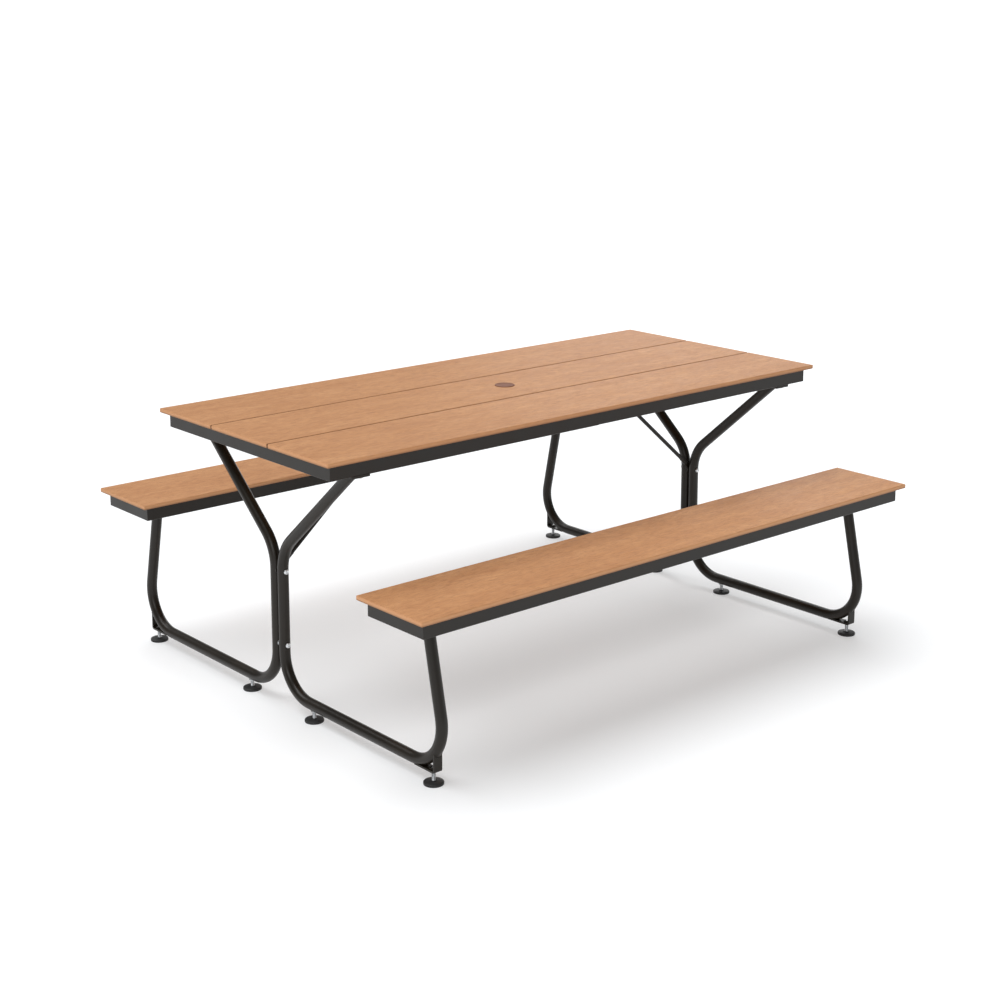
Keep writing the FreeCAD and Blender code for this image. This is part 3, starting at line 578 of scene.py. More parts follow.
class Draft:
    """A mesh in the making, to which parts are added one by one."""

    def __init__(self) -> None:
        """Start empty."""
        self.mesh = bmesh.new()

    def rings(self, rings: Sequence[Ring], where: Matrix, sides: int = 48,
              closed: bool = False) -> None:
        """Skin a stack of rings.

        Args:
            rings: The rings in order, each joined to the next.
            where: Where the stack's own origin and axes go.
            sides: Points round each ring.
            closed: Whether the last ring joins the first, as round a bore; otherwise both ends
                get a flat face.
        """
        loops = []
        for ring in rings:
            loop = []
            for k in range(sides):
                angle = math.tau * k / sides
                radius = ring.radius(angle)
                point = Vector((radius * math.cos(angle), radius * math.sin(angle), ring.height))
                loop.append(self.mesh.verts.new(where @ point))
            loops.append(loop)
        self.skin(loops, closed)

    def skin(self, loops: Sequence[list], closed: bool = False) -> None:
        """Lay quads between loops of points.

        Args:
            loops: Closed loops with as many points in each, in order.
            closed: Whether the last joins the first; otherwise both get a flat face.
        """
        joined = list(zip(loops, loops[1:]))
        if closed:
            joined.append((loops[-1], loops[0]))
        else:
            self.mesh.faces.new(reversed(loops[0]))
            self.mesh.faces.new(loops[-1])
        for lower, upper in joined:
            count = len(lower)
            for k in range(count):
                after = (k + 1) % count
                self.mesh.faces.new((lower[k], lower[after], upper[after], upper[k]))

    def thread(self, radius: float, pitch: float, start: float, end: float, where: Matrix,
               sides: int = 24, steps: int = 6) -> None:
        """Wind a screw thread on a bar, run out smoothly at both ends.

        Args:
            radius: The outer radius of the thread.
            pitch: The rise of one turn.
            start: Height of its lower end.
            end: Height of its upper end.
            where: Where the bar's own origin and axes go.
            sides: Points round the bar.
            steps: Rings in one turn.
        """
        depth = 0.61 * pitch
        count = round((end - start) / pitch * steps)
        loops = []
        for row in range(count + 1):
            height = start + (end - start) * row / count
            fade = min(1.0, (height - start) / pitch + 0.2, (end - height) / pitch + 0.2)
            taper = min(1.0, 0.75 + 0.25 * (end - height) / (0.8 * pitch))
            loop = []
            for k in range(sides):
                turn = (height / pitch - k / sides) % 1.0
                groove = 1 - abs(2 * turn - 1)
                bite = depth * fade * min(1.0, max(0.0, 1.25 * groove - 0.12))
                reach = (radius - bite) * taper
                angle = math.tau * k / sides
                point = Vector((reach * math.cos(angle), reach * math.sin(angle), height))
                loop.append(self.mesh.verts.new(where @ point))
            loops.append(loop)
        self.skin(loops)

    def bead(self, path: Sequence[Vector], radius: float, ripple: float, closed: bool = False,
             sides: int = 8) -> None:
        """Lay a weld bead with its scalloped ripples along a path.

        Args:
            path: The points of the joint that it fills.
            radius: Half the width of the bead.
            ripple: The length of one ripple.
            closed: Whether it runs round and meets its start.
            sides: Points round the bead.
        """
        points = list(path) + ([path[0]] if closed else [])
        spacing = ripple / 4
        stations = list(walk(points, spacing))
        if closed:
            stations.pop()
        loops = []
        for k, (point, along, travelled) in enumerate(stations):
            side = along.orthogonal().normalized()
            if abs(along.z) < 0.9:
                side = along.cross(UP).normalized()
            over = along.cross(side)
            swell = 1 - 0.16 * (travelled / ripple % 1.0)
            if not closed:
                left = min(k, len(stations) - 1 - k) * spacing
                swell *= min(1.0, 0.35 + left / radius)
            loop = []
            for n in range(sides):
                angle = math.tau * n / sides
                offset = side * math.cos(angle) + over * math.sin(angle)
                loop.append(self.mesh.verts.new(point + offset * radius * swell))
            loops.append(loop)
        self.skin(loops, closed)

    def piece(self, name: str, finish: Finish, body: str,
              stands_for: Sequence[str] = (), smooth: float = 32.0) -> bpy.types.Object:
        """Turn the draft into a piece of the object.

        Args:
            name: The piece's name.
            finish: What it is made of.
            body: The CAD body that carries it.
            stands_for: The CAD nodes that it replaces.
            smooth: The angle between faces below which the edge is shaded away, in degrees.

        Returns:
            The new object.
        """
        bmesh.ops.recalc_face_normals(self.mesh, faces=self.mesh.faces)
        limit = math.radians(smooth)
        for face in self.mesh.faces:
            face.smooth = True
        for edge in self.mesh.edges:
            edge.smooth = edge.is_manifold and edge.calc_face_angle(math.pi) < limit
        data = bpy.data.meshes.new(name)
        self.mesh.to_mesh(data)
        self.mesh.free()
        thing = bpy.data.objects.new(name, data)
        bpy.context.scene.collection.objects.link(thing)
        data.materials.append(finish.material())
        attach(thing, body)
        if stands_for:
            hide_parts(*stands_for)
        log.info("built %s: %d faces", name, len(data.polygons))
        return thing


def walk(points: Sequence[Vector], spacing: float) -> Iterator[tuple[Vector, Vector, float]]:
    """Step along a path in even strides.

    Args:
        points: The path's points.
        spacing: About how long a stride is.

    Yields:
        Each station's place, the path's direction there and the distance travelled.
    """
    lengths = [(b - a).length for a, b in zip(points, points[1:])]
    total = sum(lengths)
    count = max(2, round(total / spacing))
    leg, passed = 0, 0.0
    for k in range(count + 1):
        travelled = total * k / count
        while leg < len(lengths) - 1 and passed + lengths[leg] < travelled:
            passed += lengths[leg]
            leg += 1
        along = (points[leg + 1] - points[leg]).normalized()
        yield points[leg] + along * (travelled - passed), along, travelled


def upright_in(low: Vector, high: Vector) -> Matrix:
    """Give the place of a piece that stands in the middle of a box's lowest face."""
    return Matrix.Translation(((low.x + high.x) / 2, (low.y + high.y) / 2, low.z))


def dress_node(node: str, finish: Finish) -> None:
    """Give a carried-over CAD node its finish.

    Args:
        node: The node's name.
        finish: What it is made of.
    """
    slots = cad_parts[node].data.materials
    slots.clear()
    slots.append(finish.material())
    log.info("dressed %s in %s", node, finish.name)


def matching_nodes(*starts: str) -> list[str]:
    """List the CAD nodes whose names start in one of these ways."""
    return sorted(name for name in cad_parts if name.startswith(starts))


# ---------------------------------------------------------------- sub-assemblies

@dataclass
class Boards:
    """The three boards of the table top and the two seat boards.

    Attributes:
        stagger: How far the grain of one board is shifted from that of the next, in metres.
    """

    stagger: float = 3.7

    def dress(self) -> None:
        """Give each board a grain of its own."""
        near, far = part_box("table_board_centre")[1].y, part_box("table_board_left")[0].y
        for k, node in enumerate(matching_nodes("table_board_", "seat_board_")):
            seam = (near + far) / 2 if node.startswith("table") else 0.0
            dress_node(node, PressedBoard(
                f"pressed_board_{k + 1}", phase=self.stagger * k, top=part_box(node)[1].z,
                seam=seam, seam_half=(far - near) / 2))


@dataclass
class RailFrames:
    """The rectangular tube frames under the boards, with the welds that join them.

    Attributes:
        bead: Half the width of a weld bead.
        ripple: The length of one weld ripple.
        inset: How far a bead stops short of the rail's edges.
    """

    bead: float = 2.2 * MM
    ripple: float = 1.9 * MM
    inset: float = 2 * MM

    def dress(self) -> None:
        """Coat every rail."""
        for node in matching_nodes("table_side_rail", "table_end_rail", "table_leg_rail",
                                   "table_brace_rail", "table_centre_rails", "seat_left_",
                                   "seat_right_"):
            dress_node(node, POWDER_COAT)

    def build(self) -> None:
        """Weld the cross rails and the corners of all three frames."""
        table_rails = matching_nodes("table_leg_rail", "table_brace_rail", "table_centre_rails")
        self.weld_frame("table_frame_welds", table_rails, "table_side_rail_left",
                        "table_end_rail_east")
        for side in ("left", "right"):
            inner_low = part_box(f"seat_{side}_cross_rails")[0]
            upper = "outer" if inner_low.y > 0 else "inner"
            self.weld_frame(f"seat_{side}_frame_welds", [f"seat_{side}_cross_rails"],
                            f"seat_{side}_side_rail_{upper}", f"seat_{side}_end_rail_east")

    def weld_frame(self, name: str, cross_rails: Sequence[str], side_rail: str,
                   end_rail: str) -> None:
        """Run upright beads where cross rails meet the sides, and in the frame's inner corners.

        Args:
            name: The piece's name.
            cross_rails: The nodes that hold the rails across the frame.
            side_rail: The side of the frame towards +Y.
            end_rail: The end of the frame towards +X.
        """
        draft = Draft()
        bottom, top = (corner.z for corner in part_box(side_rail))
        corners = []
        for node in cross_rails:
            for low, high in solids_of(node):
                corners += [(x, y) for x in (low.x, high.x) for y in (low.y, high.y)]
        inner_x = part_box(end_rail)[0].x
        span = [corner.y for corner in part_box(cross_rails[-1])]
        corners += [(x, y) for x in (-inner_x, inner_x) for y in span]
        for x, y in corners:
            path = [Vector((x, y, bottom + self.inset)), Vector((x, y, top - self.inset))]
            draft.bead(path, self.bead, self.ripple)
        draft.piece(name, POWDER_COAT, TABLE)


@dataclass
class EndFrames:
    """The bent tube end frames, their plates, foot brackets and braces, and their welds.

    Attributes:
        bead: Half the width of a weld bead.
        ripple: The length of one weld ripple.
        turns: Corners of the path round a tube.
        tab_thick: Thickness of the tab at the upper end of a brace.
    """

    bead: float = 2.4 * MM
    ripple: float = 2.1 * MM
    turns: int = 60
    tab_thick: float = 3 * MM

    def dress(self) -> None:
        """Coat the tubes, plates, brackets and braces."""
        for node in matching_nodes("frame_tube", "arm_plates", "seat_plates", "foot_brackets",
                                   "brace_"):
            dress_node(node, POWDER_COAT)

    def build(self) -> None:
        """Weld each tube to its plates and its foot bracket, and each brace to its tab."""
        for end in ("west", "east"):
            for side in ("left", "right"):
                draft = Draft()
                self.weld_plate(draft, f"frame_tube_{end}_{side}", f"arm_plates_{end}")
                self.weld_plate(draft, f"frame_tube_{end}_{side}", f"seat_plates_{end}")
                self.weld_bracket(draft, f"frame_tube_{end}_{side}")
                draft.piece(f"tube_welds_{end}_{side}", POWDER_COAT, TABLE)
            self.weld_brace(end)

    def weld_plate(self, draft: Draft, tube: str, plates: str) -> None:
        """Run a bead round the end of a tube that stands against a plate.

        Args:
            draft: The mesh that takes the bead.
            tube: The tube's node.
            plates: The node of the plates at that height.
        """
        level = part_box(plates)[0].z
        outward = 1 if sum(corner.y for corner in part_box(tube)) > 0 else -1
        plate = next(box for box in solids_of(plates) if (box[0].y + box[1].y) * outward > 0)
        rim = [p for p in cad_points(tube)
               if abs(p.z - level) < TOUCH and plate[0].y < p.y < plate[1].y]
        low, high = box_of(rim)
        middle, half = (low + high) / 2, (high - low) / 2
        lift = 0.4 * self.bead
        path = [Vector((middle.x + (half.x + lift) * math.cos(math.tau * k / self.turns),
                        middle.y + (half.y + lift) * math.sin(math.tau * k / self.turns),
                        level - lift)) for k in range(self.turns)]
        draft.bead(path, self.bead, self.ripple, closed=True)

    def weld_bracket(self, draft: Draft, tube: str) -> None:
        """Run beads where a foot bracket's upright face and underside meet its tube.

        Args:
            draft: The mesh that takes the beads.
            tube: The tube's node.
        """
        low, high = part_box(tube)
        outward = 1 if high.y > -low.y else -1
        points = [p for p in cad_points("foot_brackets")
                  if low.x - 1 * MM < p.x < high.x + 1 * MM and p.y * outward > 0]
        bottom, top = (corner.z for corner in box_of(points))
        inner, face = (pick(p.y * outward for p in points) for pick in (min, max))
        middle_x = (low.x + high.x) / 2
        reach = max(p.x for p in points) - middle_x
        upright = [p for p in points
                   if abs(p.y * outward - face) < TOUCH and p.z > (bottom + top) / 2]
        coped = [p for p in points if abs(p.z - bottom) < TOUCH
                 and inner + 0.1 * MM < p.y * outward < inner + 0.3 * (face - inner)
                 and abs(p.x - middle_x) < reach - 0.2 * MM]
        for edge in (upright, coped):
            path = sorted(edge, key=lambda p: p.x)
            spread = [p for k, p in enumerate(path) if k == 0 or (p - path[k - 1]).length > TOUCH]
            if len(spread) > 2:
                draft.bead(spread, 0.7 * self.bead, self.ripple)

    def weld_brace(self, end: str) -> None:
        """Run a bead across the tab at the upper end of a brace.

        Args:
            end: "west" or "east".
        """
        low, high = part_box(f"brace_{end}")
        outward = 1 if high.x > -low.x else -1
        tab = [p for p in cad_points(f"brace_{end}") if high.z - p.z < TOUCH]
        far = max(p.x * outward for p in tab)
        half = max(p.y for p in tab)
        draft = Draft()
        for y in (-0.3 * half, 0.3 * half):
            start = Vector((outward * (far - 0.5 * MM), y - 0.3 * half, high.z - self.tab_thick))
            draft.bead([start, start + Vector((0, 0.6 * half, 0))], 0.8 * self.bead, self.ripple)
        draft.piece(f"brace_welds_{end}", POWDER_COAT, TABLE)


@dataclass
class Fasteners:
    """Zinc-plated bolts, barrel nuts, spacers, screws and thread inserts, and coated weld nuts.

    Attributes:
        shank: Radius of a bolt's shank.
        screw_shank: Radius of a board screw's shank.
        bore: Radius of the hole in a weld nut or an insert.
        socket: Size across flats of the hexagon socket in a bolt or barrel nut.
        cross: Span of the cross recess in a board screw.
        flat_head: Height of a mounting bolt's head.
        button_head: Height of a through bolt's head.
        barrel_head: Height of a barrel nut's head.
        pan_head: Height of a board screw's head.
        insert_flange: Thickness of an insert's flange.
        insert_body: Radius of an insert above its flange.
    """

    shank: float = 4 * MM
    screw_shank: float = 2.4 * MM
    bore: float = 5.05 * MM
    socket: float = 5 * MM
    cross: float = 5.4 * MM
    flat_head: float = 2.6 * MM
    button_head: float = 4.5 * MM
    barrel_head: float = 2 * MM
    pan_head: float = 3 * MM
    insert_flange: float = 1.5 * MM
    insert_body: float = 7 * MM

    def build(self) -> None:
        """Build every fastener in the place of its CAD solid."""
        self.turn("mounting_bolts", self.mounting_bolt)
        self.turn("through_bolts", self.through_bolt, along=TOWARD_LEFT)
        self.turn("through_bolt_nuts", self.barrel_nut, along=TOWARD_RIGHT, name="barrel_nuts")
        self.turn("board_screws", self.board_screw, sides=40)
        self.turn("bracket_nuts", self.weld_nut, sides=72, hollow=True, spin=math.pi / 6,
                  finish=POWDER_COAT, slot="frame_paint")
        self.turn("tube_inserts", self.insert, sides=64, hollow=True)
        dress_node("post_spacers", ZINC)

    def turn(self, node: str, profile: Callable[[float, float], list[Ring]], along: Vector = UP,
             sides: int = 48, hollow: bool = False, spin: float = 0.0, name: str = "",
             finish: Finish = ZINC, slot: str = "zinc") -> None:
        """Build all the fasteners of one CAD node from one profile.

        Args:
            node: The CAD node that they stand for.
            profile: Gives a fastener's rings for half its width over X and for its length.
            along: The way from a fastener's head to its tip.
            sides: Points round each ring.
            hollow: Whether it has a hole right through.
            spin: How far it is turned round its own axis, in radians.
            name: The start of the piece's name, where the node's name won't do.
            finish: What they are made of.
            slot: The record's material slot for these fasteners; not used.
        """
        draft = Draft()
        turned = UP.rotation_difference(along).to_matrix().to_4x4() @ Matrix.Rotation(spin, 4, "Z")
        for low, high in solids_of(node):
            size = high - low
            length = abs(size.dot(along))
            head = (low + high - along * length) / 2
            rings = profile(size.x / 2, length)
            draft.rings(rings, Matrix.Translation(head) @ turned, sides, hollow)
        draft.piece(f"{name or node}_detailed", finish, TABLE, [node])

    def recess(self, depth: float, outline: Outline = Outline.HEXAGON) -> list[Ring]:
        """List the rings of a driving recess, from its floor to its mouth at height 0.

        Args:
            depth: How deep it is.
            outline: Its shape.

        Returns:
            The rings, deepest first.
        """
        half = (self.cross if outline is Outline.CROSS else self.socket) / 2
        edge = 0.25 * MM
        return [Ring(depth, 0.35 * half), Ring(depth - 0.3 * MM, half, outline),
                Ring(edge, half, outline), Ring(0.0, half + edge, outline)]

    def mounting_bolt(self, radius: float, length: float) -> list[Ring]:
        """Shape a bolt with a low flat head.

        Args:
            radius: Radius of its head.
            length: Its whole length.

        Returns:
            Its rings, from the socket in the head to the tip.
        """
        head = self.flat_head
        return self.recess(1.9 * MM) + [
            Ring(0.0, radius - 1.5 * MM), Ring(0.15 * MM, radius - 0.9 * MM),
            Ring(0.5 * MM, radius - 0.35 * MM), Ring(1.1 * MM, radius),
            Ring(head - 0.2 * MM, radius), Ring(head, radius - 0.2 * MM),
            Ring(head, self.shank), Ring(length - 1 * MM, self.shank),
            Ring(length, self.shank - 1 * MM)]

    def through_bolt(self, radius: float, length: float) -> list[Ring]:
        """Shape a bolt with a domed button head and a reduced tip that enters the barrel nut.

        Args:
            radius: Radius of its head.
            length: Its whole length.

        Returns:
            Its rings, from the socket in the head to the tip.
        """
        crown = 0.55 * radius
        dome = []
        for k in range(9):
            angle = math.pi / 2 * k / 8
            dome.append(Ring((self.button_head - 0.6 * MM) * (1 - math.cos(angle)),
                             crown + (radius - crown) * math.sin(angle)))
        tip_start, tip = length - 18 * MM, 3 * MM
        return self.recess(2.2 * MM) + dome + [
            Ring(self.button_head, radius), Ring(self.button_head, self.shank),
            Ring(tip_start, self.shank), Ring(tip_start, tip), Ring(length, tip)]

    def barrel_nut(self, radius: float, length: float) -> list[Ring]:
        """Shape a low-headed barrel nut.

        Args:
            radius: Radius of its head.
            length: Its whole length.

        Returns:
            Its rings, from the socket in the head to the end of the barrel.
        """
        head = self.barrel_head
        return self.recess(1.4 * MM) + [
            Ring(0.0, radius - 1.2 * MM), Ring(0.35 * MM, radius - 0.35 * MM),
            Ring(1.0 * MM, radius), Ring(head, radius), Ring(head, self.shank),
            Ring(length, self.shank)]

    def board_screw(self, radius: float, length: float) -> list[Ring]:
        """Shape a pan-headed screw with a cross recess and a point.

        Args:
            radius: Radius of its head.
            length: Its whole length.

        Returns:
            Its rings, from the recess in the head to the point.
        """
        head = self.pan_head
        return self.recess(1.8 * MM, Outline.CROSS) + [
            Ring(0.0, radius - 1.9 * MM), Ring(0.2 * MM, radius - 1.0 * MM),
            Ring(0.8 * MM, radius - 0.25 * MM), Ring(1.5 * MM, radius), Ring(head, radius),
            Ring(head, self.screw_shank), Ring(length - 5 * MM, self.screw_shank),
            Ring(length, 0.4 * MM)]

    def weld_nut(self, corner: float, height: float) -> list[Ring]:
        """Shape a chamfered hexagon nut, which is welded to its foot bracket and coated with it.

        Args:
            corner: Half its size across corners.
            height: Its height.

        Returns:
            Its rings, from the lower mouth of the bore over the outside to the upper one.
        """
        half = corner * math.cos(math.pi / 6)
        chamfer, ease = 0.7 * MM, 0.5 * MM
        return [Ring(ease, self.bore), Ring(0.0, self.bore + ease), Ring(0.0, 0.95 * half),
                Ring(chamfer, half, Outline.HEXAGON, corner),
                Ring(height - chamfer, half, Outline.HEXAGON, corner),
                Ring(height - 0.3 * MM, half, Outline.HEXAGON, 0.5 * (half + corner)),
                Ring(height, 0.95 * half), Ring(height, self.bore + ease),
                Ring(height - ease, self.bore)]

    def insert(self, radius: float, height: float) -> list[Ring]:
        """Shape a flanged thread insert, pressed up into the floor run of a tube.

        Args:
            radius: Radius of its flange.
            height: Its height.

        Returns:
            Its rings, from the mouth of the bore over the flange to the top of the bore.
        """
        flange, ease = self.insert_flange, 0.6 * MM
        return [Ring(ease, self.bore), Ring(0.0, self.bore + ease), Ring(0.0, radius - ease),
                Ring(0.25 * MM, radius - 0.15 * MM), Ring(ease, radius), Ring(flange, radius),
                Ring(flange, self.insert_body), Ring(height, self.insert_body),
                Ring(height, self.bore)]


@dataclass
class LevellingFoot:
    """One levelling foot: a moulded pad and the threaded stud that turns in it.

    Attributes:
        place: The foot's name, such as "west_left_outer".
        pitch: The rise of one turn of the stud's thread.
        stud_radius: Outer radius of that thread.
        stud_flange: Thickness of the flange at the stud's foot.
        groove: Depth of the rings moulded in the sole.
        rim: Height of the pad's edge.
        neck: Radius of the collar round the stud.
        collar: Radius of the hole in it.
        bend: Radius of the pad's rounded edge.
    """

    place: str
    pitch: float = 1.5 * MM
    stud_radius: float = 5 * MM
    stud_flange: float = 3 * MM
    groove: float = 0.7 * MM
    rim: float = 7 * MM
    neck: float = 9 * MM
    collar: float = 5.05 * MM
    bend: float = 2 * MM

    def build(self) -> None:
        """Build the pad and the stud on their own bodies."""
        self.pad()
        self.stud()

    def pad(self) -> None:
        """Mould the pad: a domed disc with a ringed sole and a collar round the stud."""
        node = f"foot_pad_{self.place}"
        low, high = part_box(node)
        radius, crown = (high.x - low.x) / 2, high.z - low.z
        rings = [Ring(0.0, 0.2 * radius)]
        for share in (0.34, 0.52, 0.70, 0.88):
            middle = share * radius
            rings += [Ring(0.0, middle - 1.0 * MM), Ring(self.groove, middle - 0.6 * MM),
                      Ring(self.groove, middle + 0.6 * MM), Ring(0.0, middle + 1.0 * MM)]
        rings += [Ring(0.0, radius - 1.0 * MM), Ring(0.3 * MM, radius - 0.3 * MM),
                  Ring(1.0 * MM, radius), Ring(2.6 * MM, radius),
                  Ring(2.9 * MM, radius - 0.35 * MM), Ring(3.2 * MM, radius)]
        for k in range(5):
            angle = math.radians(80) * k / 4
            rings.append(Ring(self.rim - self.bend * (1 - math.sin(angle)),
                              radius - self.bend * (1 - math.cos(angle))))
        shoulder = radius - self.bend - 1 * MM
        for k in range(1, 7):
            share = k / 6
            rings.append(Ring(self.rim + (crown - 0.9 * MM - self.rim) * share ** 0.8,
                              shoulder + (self.neck + 1.2 * MM - shoulder) * share))
        rings += [Ring(crown - 0.75 * MM, self.neck + 0.3 * MM),
                  Ring(crown - 0.2 * MM, self.neck - 0.1 * MM),
                  Ring(crown, self.neck - 0.6 * MM), Ring(crown, self.collar + 0.5 * MM),
                  Ring(crown - 0.5 * MM, self.collar), Ring(crown - 3 * MM, self.collar)]
        draft = Draft()
        draft.rings(rings, upright_in(low, high), sides=72)
        draft.piece(f"pad_{self.place}", BLACK_NYLON, node, [node])

    def stud(self) -> None:
        """Roll the stud: a threaded bar on a flange that the pad holds."""
        node = f"foot_stud_{self.place}"
        low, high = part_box(node)
        flange, ease = (high.x - low.x) / 2, 0.4 * MM
        root = self.stud_flange + ease
        draft = Draft()
        draft.rings([Ring(0.0, flange - ease), Ring(ease, flange),
                     Ring(self.stud_flange - ease, flange), Ring(self.stud_flange, flange - ease),
                     Ring(self.stud_flange, self.stud_radius), Ring(root, self.stud_radius)],
                    upright_in(low, high))
        draft.thread(self.stud_radius, self.pitch, root, high.z - low.z, upright_in(low, high))
        draft.piece(f"stud_{self.place}", ZINC, node, [node], smooth=50.0)


@dataclass
class UmbrellaFittings:
    """The sleeve in the centre board and the cap that closes it.

    Attributes:
        cap_thick: Thickness of the cap's disc.
        dish: How far the middle of the cap lies below its raised rim.
        lip: Width of that rim.
        bend: Radius of the rim's rounded edge.
        skirt: Outer radius of the cap's skirt.
        wall: Thickness of the skirt.
        groove: Depth of the ring groove in the dish.
        sleeve_radius: Outer radius of the sleeve's tube.
        sleeve_bore: Its inner radius.
        sleeve_flange: Thickness of its flange, which stands against the board's underside.
    """

    cap_thick: float = 2 * MM
    dish: float = 0.7 * MM
    lip: float = 3.5 * MM
    bend: float = 1.5 * MM
    skirt: float = 20.95 * MM
    wall: float = 2.5 * MM
    groove: float = 0.3 * MM
    sleeve_radius: float = 25 * MM
    sleeve_bore: float = 21 * MM
    sleeve_flange: float = 3 * MM

    def build(self) -> None:
        """Build the cap and the sleeve."""
        self.cap()
        self.sleeve()

    def cap(self) -> None:
        """Mould the cap: a dished disc with a raised rim, a ring groove and a skirt."""
        low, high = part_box("umbrella_cap")
        radius, top = (high.x - low.x) / 2, self.cap_thick
        tail = top - (high.z - low.z)
        skirt, hollow = self.skirt, self.skirt - self.wall
        rings = [Ring(0.0, 1 * MM), Ring(0.0, hollow - 0.5 * MM), Ring(-0.5 * MM, hollow),
                 Ring(tail, hollow + 0.4 * MM), Ring(tail, skirt - 0.6 * MM),
                 Ring(tail + 0.8 * MM, skirt), Ring(-0.4 * MM, skirt), Ring(0.0, skirt + 0.4 * MM),
                 Ring(0.0, radius - 0.3 * MM), Ring(0.3 * MM, radius)]
        for k in range(6):
            angle = math.pi / 2 * k / 5
            rings.append(Ring(top - self.bend * (1 - math.sin(angle)),
                              radius - self.bend * (1 - math.cos(angle))))
        inner, ring, floor = radius - self.lip, 0.52 * radius, top - self.dish
        rings += [Ring(top, inner), Ring(top - 0.15 * MM, inner - 0.4 * MM),
                  Ring(floor, inner - 1.0 * MM), Ring(floor, ring),
                  Ring(floor - self.groove, ring - 0.4 * MM),
                  Ring(floor - self.groove, ring - 1.0 * MM),
                  Ring(floor, ring - 1.4 * MM), Ring(floor, 1 * MM)]
        draft = Draft()
        under_disc = Vector((low.x, low.y, high.z - top))
        draft.rings(rings, upright_in(under_disc, high), sides=96)
        draft.piece("umbrella_cap_detailed", BROWN_CAP, "umbrella_cap",
                    ["umbrella_cap"])

    def sleeve(self) -> None:
        """Mould the sleeve: a flanged tube with eased edges and a ringed tail."""
        low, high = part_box("umbrella_sleeve")
        flange, tail, top = (high.x - low.x) / 2, low.z, high.z
        outer, bore, ease = self.sleeve_radius, self.sleeve_bore, 0.6 * MM
        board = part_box("table_board_centre")[0].z
        seat = board - self.sleeve_flange
        rings = [Ring(tail + ease, bore), Ring(tail, bore + ease), Ring(tail, outer - ease),
                 Ring(tail + ease, outer)]
        for share in (0.3, 0.6):
            level = tail + share * (seat - tail)
            rings += [Ring(level - 0.5 * MM, outer), Ring(level - 0.3 * MM, outer - 0.5 * MM),
                      Ring(level + 0.3 * MM, outer - 0.5 * MM), Ring(level + 0.5 * MM, outer)]
        rings += [Ring(seat, outer), Ring(seat, flange - ease), Ring(seat + ease, flange),
                  Ring(board, flange), Ring(board, outer), Ring(top, outer),
                  Ring(top, bore + ease), Ring(top - ease, bore)]
        draft = Draft()
        on_floor = Vector((low.x, low.y, 0.0))
        draft.rings(rings, upright_in(on_floor, high), sides=96, closed=True)
        draft.piece("umbrella_sleeve_detailed", BLACK_SLEEVE, TABLE,
                    ["umbrella_sleeve"])


# ---------------------------------------------------------------- studio

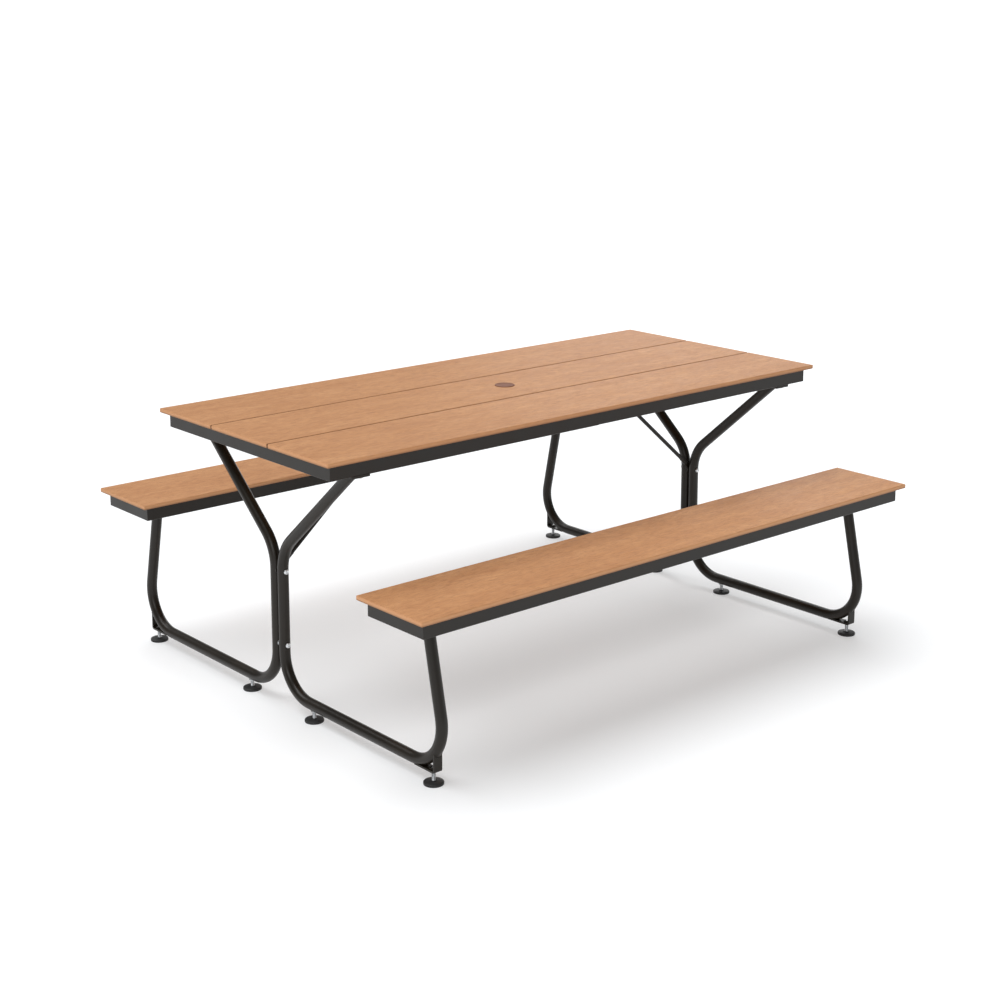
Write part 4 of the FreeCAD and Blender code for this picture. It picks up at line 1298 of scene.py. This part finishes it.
@dataclass
class Studio:
    """White floor, soft light and camera round the table.

    Attributes:
        floor_reach: Radius of the floor.
        sky: Strength of the even light from all round.
        backdrop: How bright that light looks behind the table.
        key: Strength of the soft light from above.
        key_angle: How wide that light spreads as seen from the table, in degrees.
        key_from: The direction that it comes from.
        rim_power: Power of the low soft light behind the table, in watts.
        rim_size: Side of that light.
        rim_at: Where it stands.
        fill_power: Power of the soft light beside the camera, in watts.
        fill_size: Side of that light.
        fill_at: Where it stands.
        middle: The point that the lights are turned to.
        camera_at: The camera's place, which is level with a standing person's eyes.
        heading: The way it looks, from +Y towards +X, in radians.
        tilt: How far it looks down, in radians.
        lens: Focal length on a 36 mm sensor, in millimetres.
        shift: How far the lens is shifted down, as a share of the frame's width.
    """

    floor_reach: float = 120.0
    sky: float = 0.27
    backdrop: float = 1.1
    key: float = 3.0
    key_angle: float = 62.0
    key_from: Vector = Vector((-0.1, 0.24, 1.0))
    rim_power: float = 42.0
    rim_size: float = 2.6
    rim_at: Vector = Vector((4.6, 3.6, 1.9))
    fill_power: float = 60.0
    fill_size: float = 2.4
    fill_at: Vector = Vector((-4.4, -3.2, 2.6))
    middle: Vector = Vector((0.0, 0.0, 0.4))
    camera_at: Vector = Vector((-3.2621, -3.7592, 1.8467))
    heading: float = 0.7123
    tilt: float = 0.1949
    lens: float = 63.7
    shift: float = -0.15

    def build(self) -> None:
        """Set up the whole studio."""
        bpy.context.scene.view_settings.view_transform = "Standard"
        self.floor()
        self.light()
        self.camera()

    def floor(self) -> None:
        """Lay the white floor."""
        draft = bmesh.new()
        bmesh.ops.create_circle(draft, cap_ends=True, segments=96, radius=self.floor_reach)
        data = bpy.data.meshes.new("studio_floor")
        draft.to_mesh(data)
        draft.free()
        floor = bpy.data.objects.new("studio_floor", data)
        bpy.context.scene.collection.objects.link(floor)
        data.materials.append(LightTable("opal_light_table").material())

    def light(self) -> None:
        """Light the room evenly, with a broad lamp overhead and weaker ones behind and in front."""
        world = bpy.data.worlds.new("studio_sky")
        bpy.context.scene.world = world
        world.use_nodes = True
        seen = add_node(world.node_tree, "ShaderNodeLightPath").outputs["Is Camera Ray"]
        strength = add_node(world.node_tree, "ShaderNodeMapRange", {
            "Value": seen, "To Min": self.sky, "To Max": self.backdrop})
        even = world.node_tree.nodes["Background"]
        even.inputs["Color"].default_value = (1.0, 1.0, 1.0, 1.0)
        world.node_tree.links.new(strength.outputs["Result"], even.inputs["Strength"])
        overhead = bpy.data.lights.new("soft_overhead", "SUN")
        overhead.energy = self.key
        overhead.angle = math.radians(self.key_angle)
        self.hang(overhead, self.key_from * 4)
        for name, power, size, place in (
                ("soft_behind", self.rim_power, self.rim_size, self.rim_at),
                ("soft_front", self.fill_power, self.fill_size, self.fill_at)):
            panel = bpy.data.lights.new(name, "AREA")
            panel.energy = power
            panel.size = size
            self.hang(panel, place)

    def hang(self, lamp: bpy.types.Light, place: Vector) -> None:
        """Hang a lamp that shines at the table and isn't seen itself.

        Args:
            lamp: The lamp.
            place: Where it goes.
        """
        holder = bpy.data.objects.new(lamp.name, lamp)
        holder.location = place
        holder.rotation_mode = "QUATERNION"
        toward = self.middle - place
        holder.rotation_quaternion = toward.to_track_quat("-Z", "Y")
        holder.visible_camera = False
        bpy.context.scene.collection.objects.link(holder)

    def camera(self) -> None:
        """Place the camera."""
        data = bpy.data.cameras.new("camera")
        data.lens = self.lens
        data.sensor_width = 36.0
        data.shift_y = self.shift
        data.clip_start, data.clip_end = 0.1, 300.0
        camera = bpy.data.objects.new("camera", data)
        flat = math.cos(self.tilt)
        forward = Vector((flat * math.sin(self.heading), flat * math.cos(self.heading),
                          -math.sin(self.tilt)))
        camera.location = self.camera_at
        camera.rotation_mode = "QUATERNION"
        camera.rotation_quaternion = forward.to_track_quat("-Z", "Y")
        bpy.context.scene.collection.objects.link(camera)
        bpy.context.scene.camera = camera


def main() -> None:
    """Build the looks of the whole table in order."""
    logging.basicConfig(level=logging.INFO, format="%(name)s: %(message)s")
    Boards().dress()
    rails = RailFrames()
    rails.dress()
    rails.build()
    ends = EndFrames()
    ends.dress()
    ends.build()
    Fasteners().build()
    for node in matching_nodes("foot_pad_"):
        LevellingFoot(node.removeprefix("foot_pad_")).build()
    UmbrellaFittings().build()
    Studio().build()


if __name__ == "__main__":
    main()
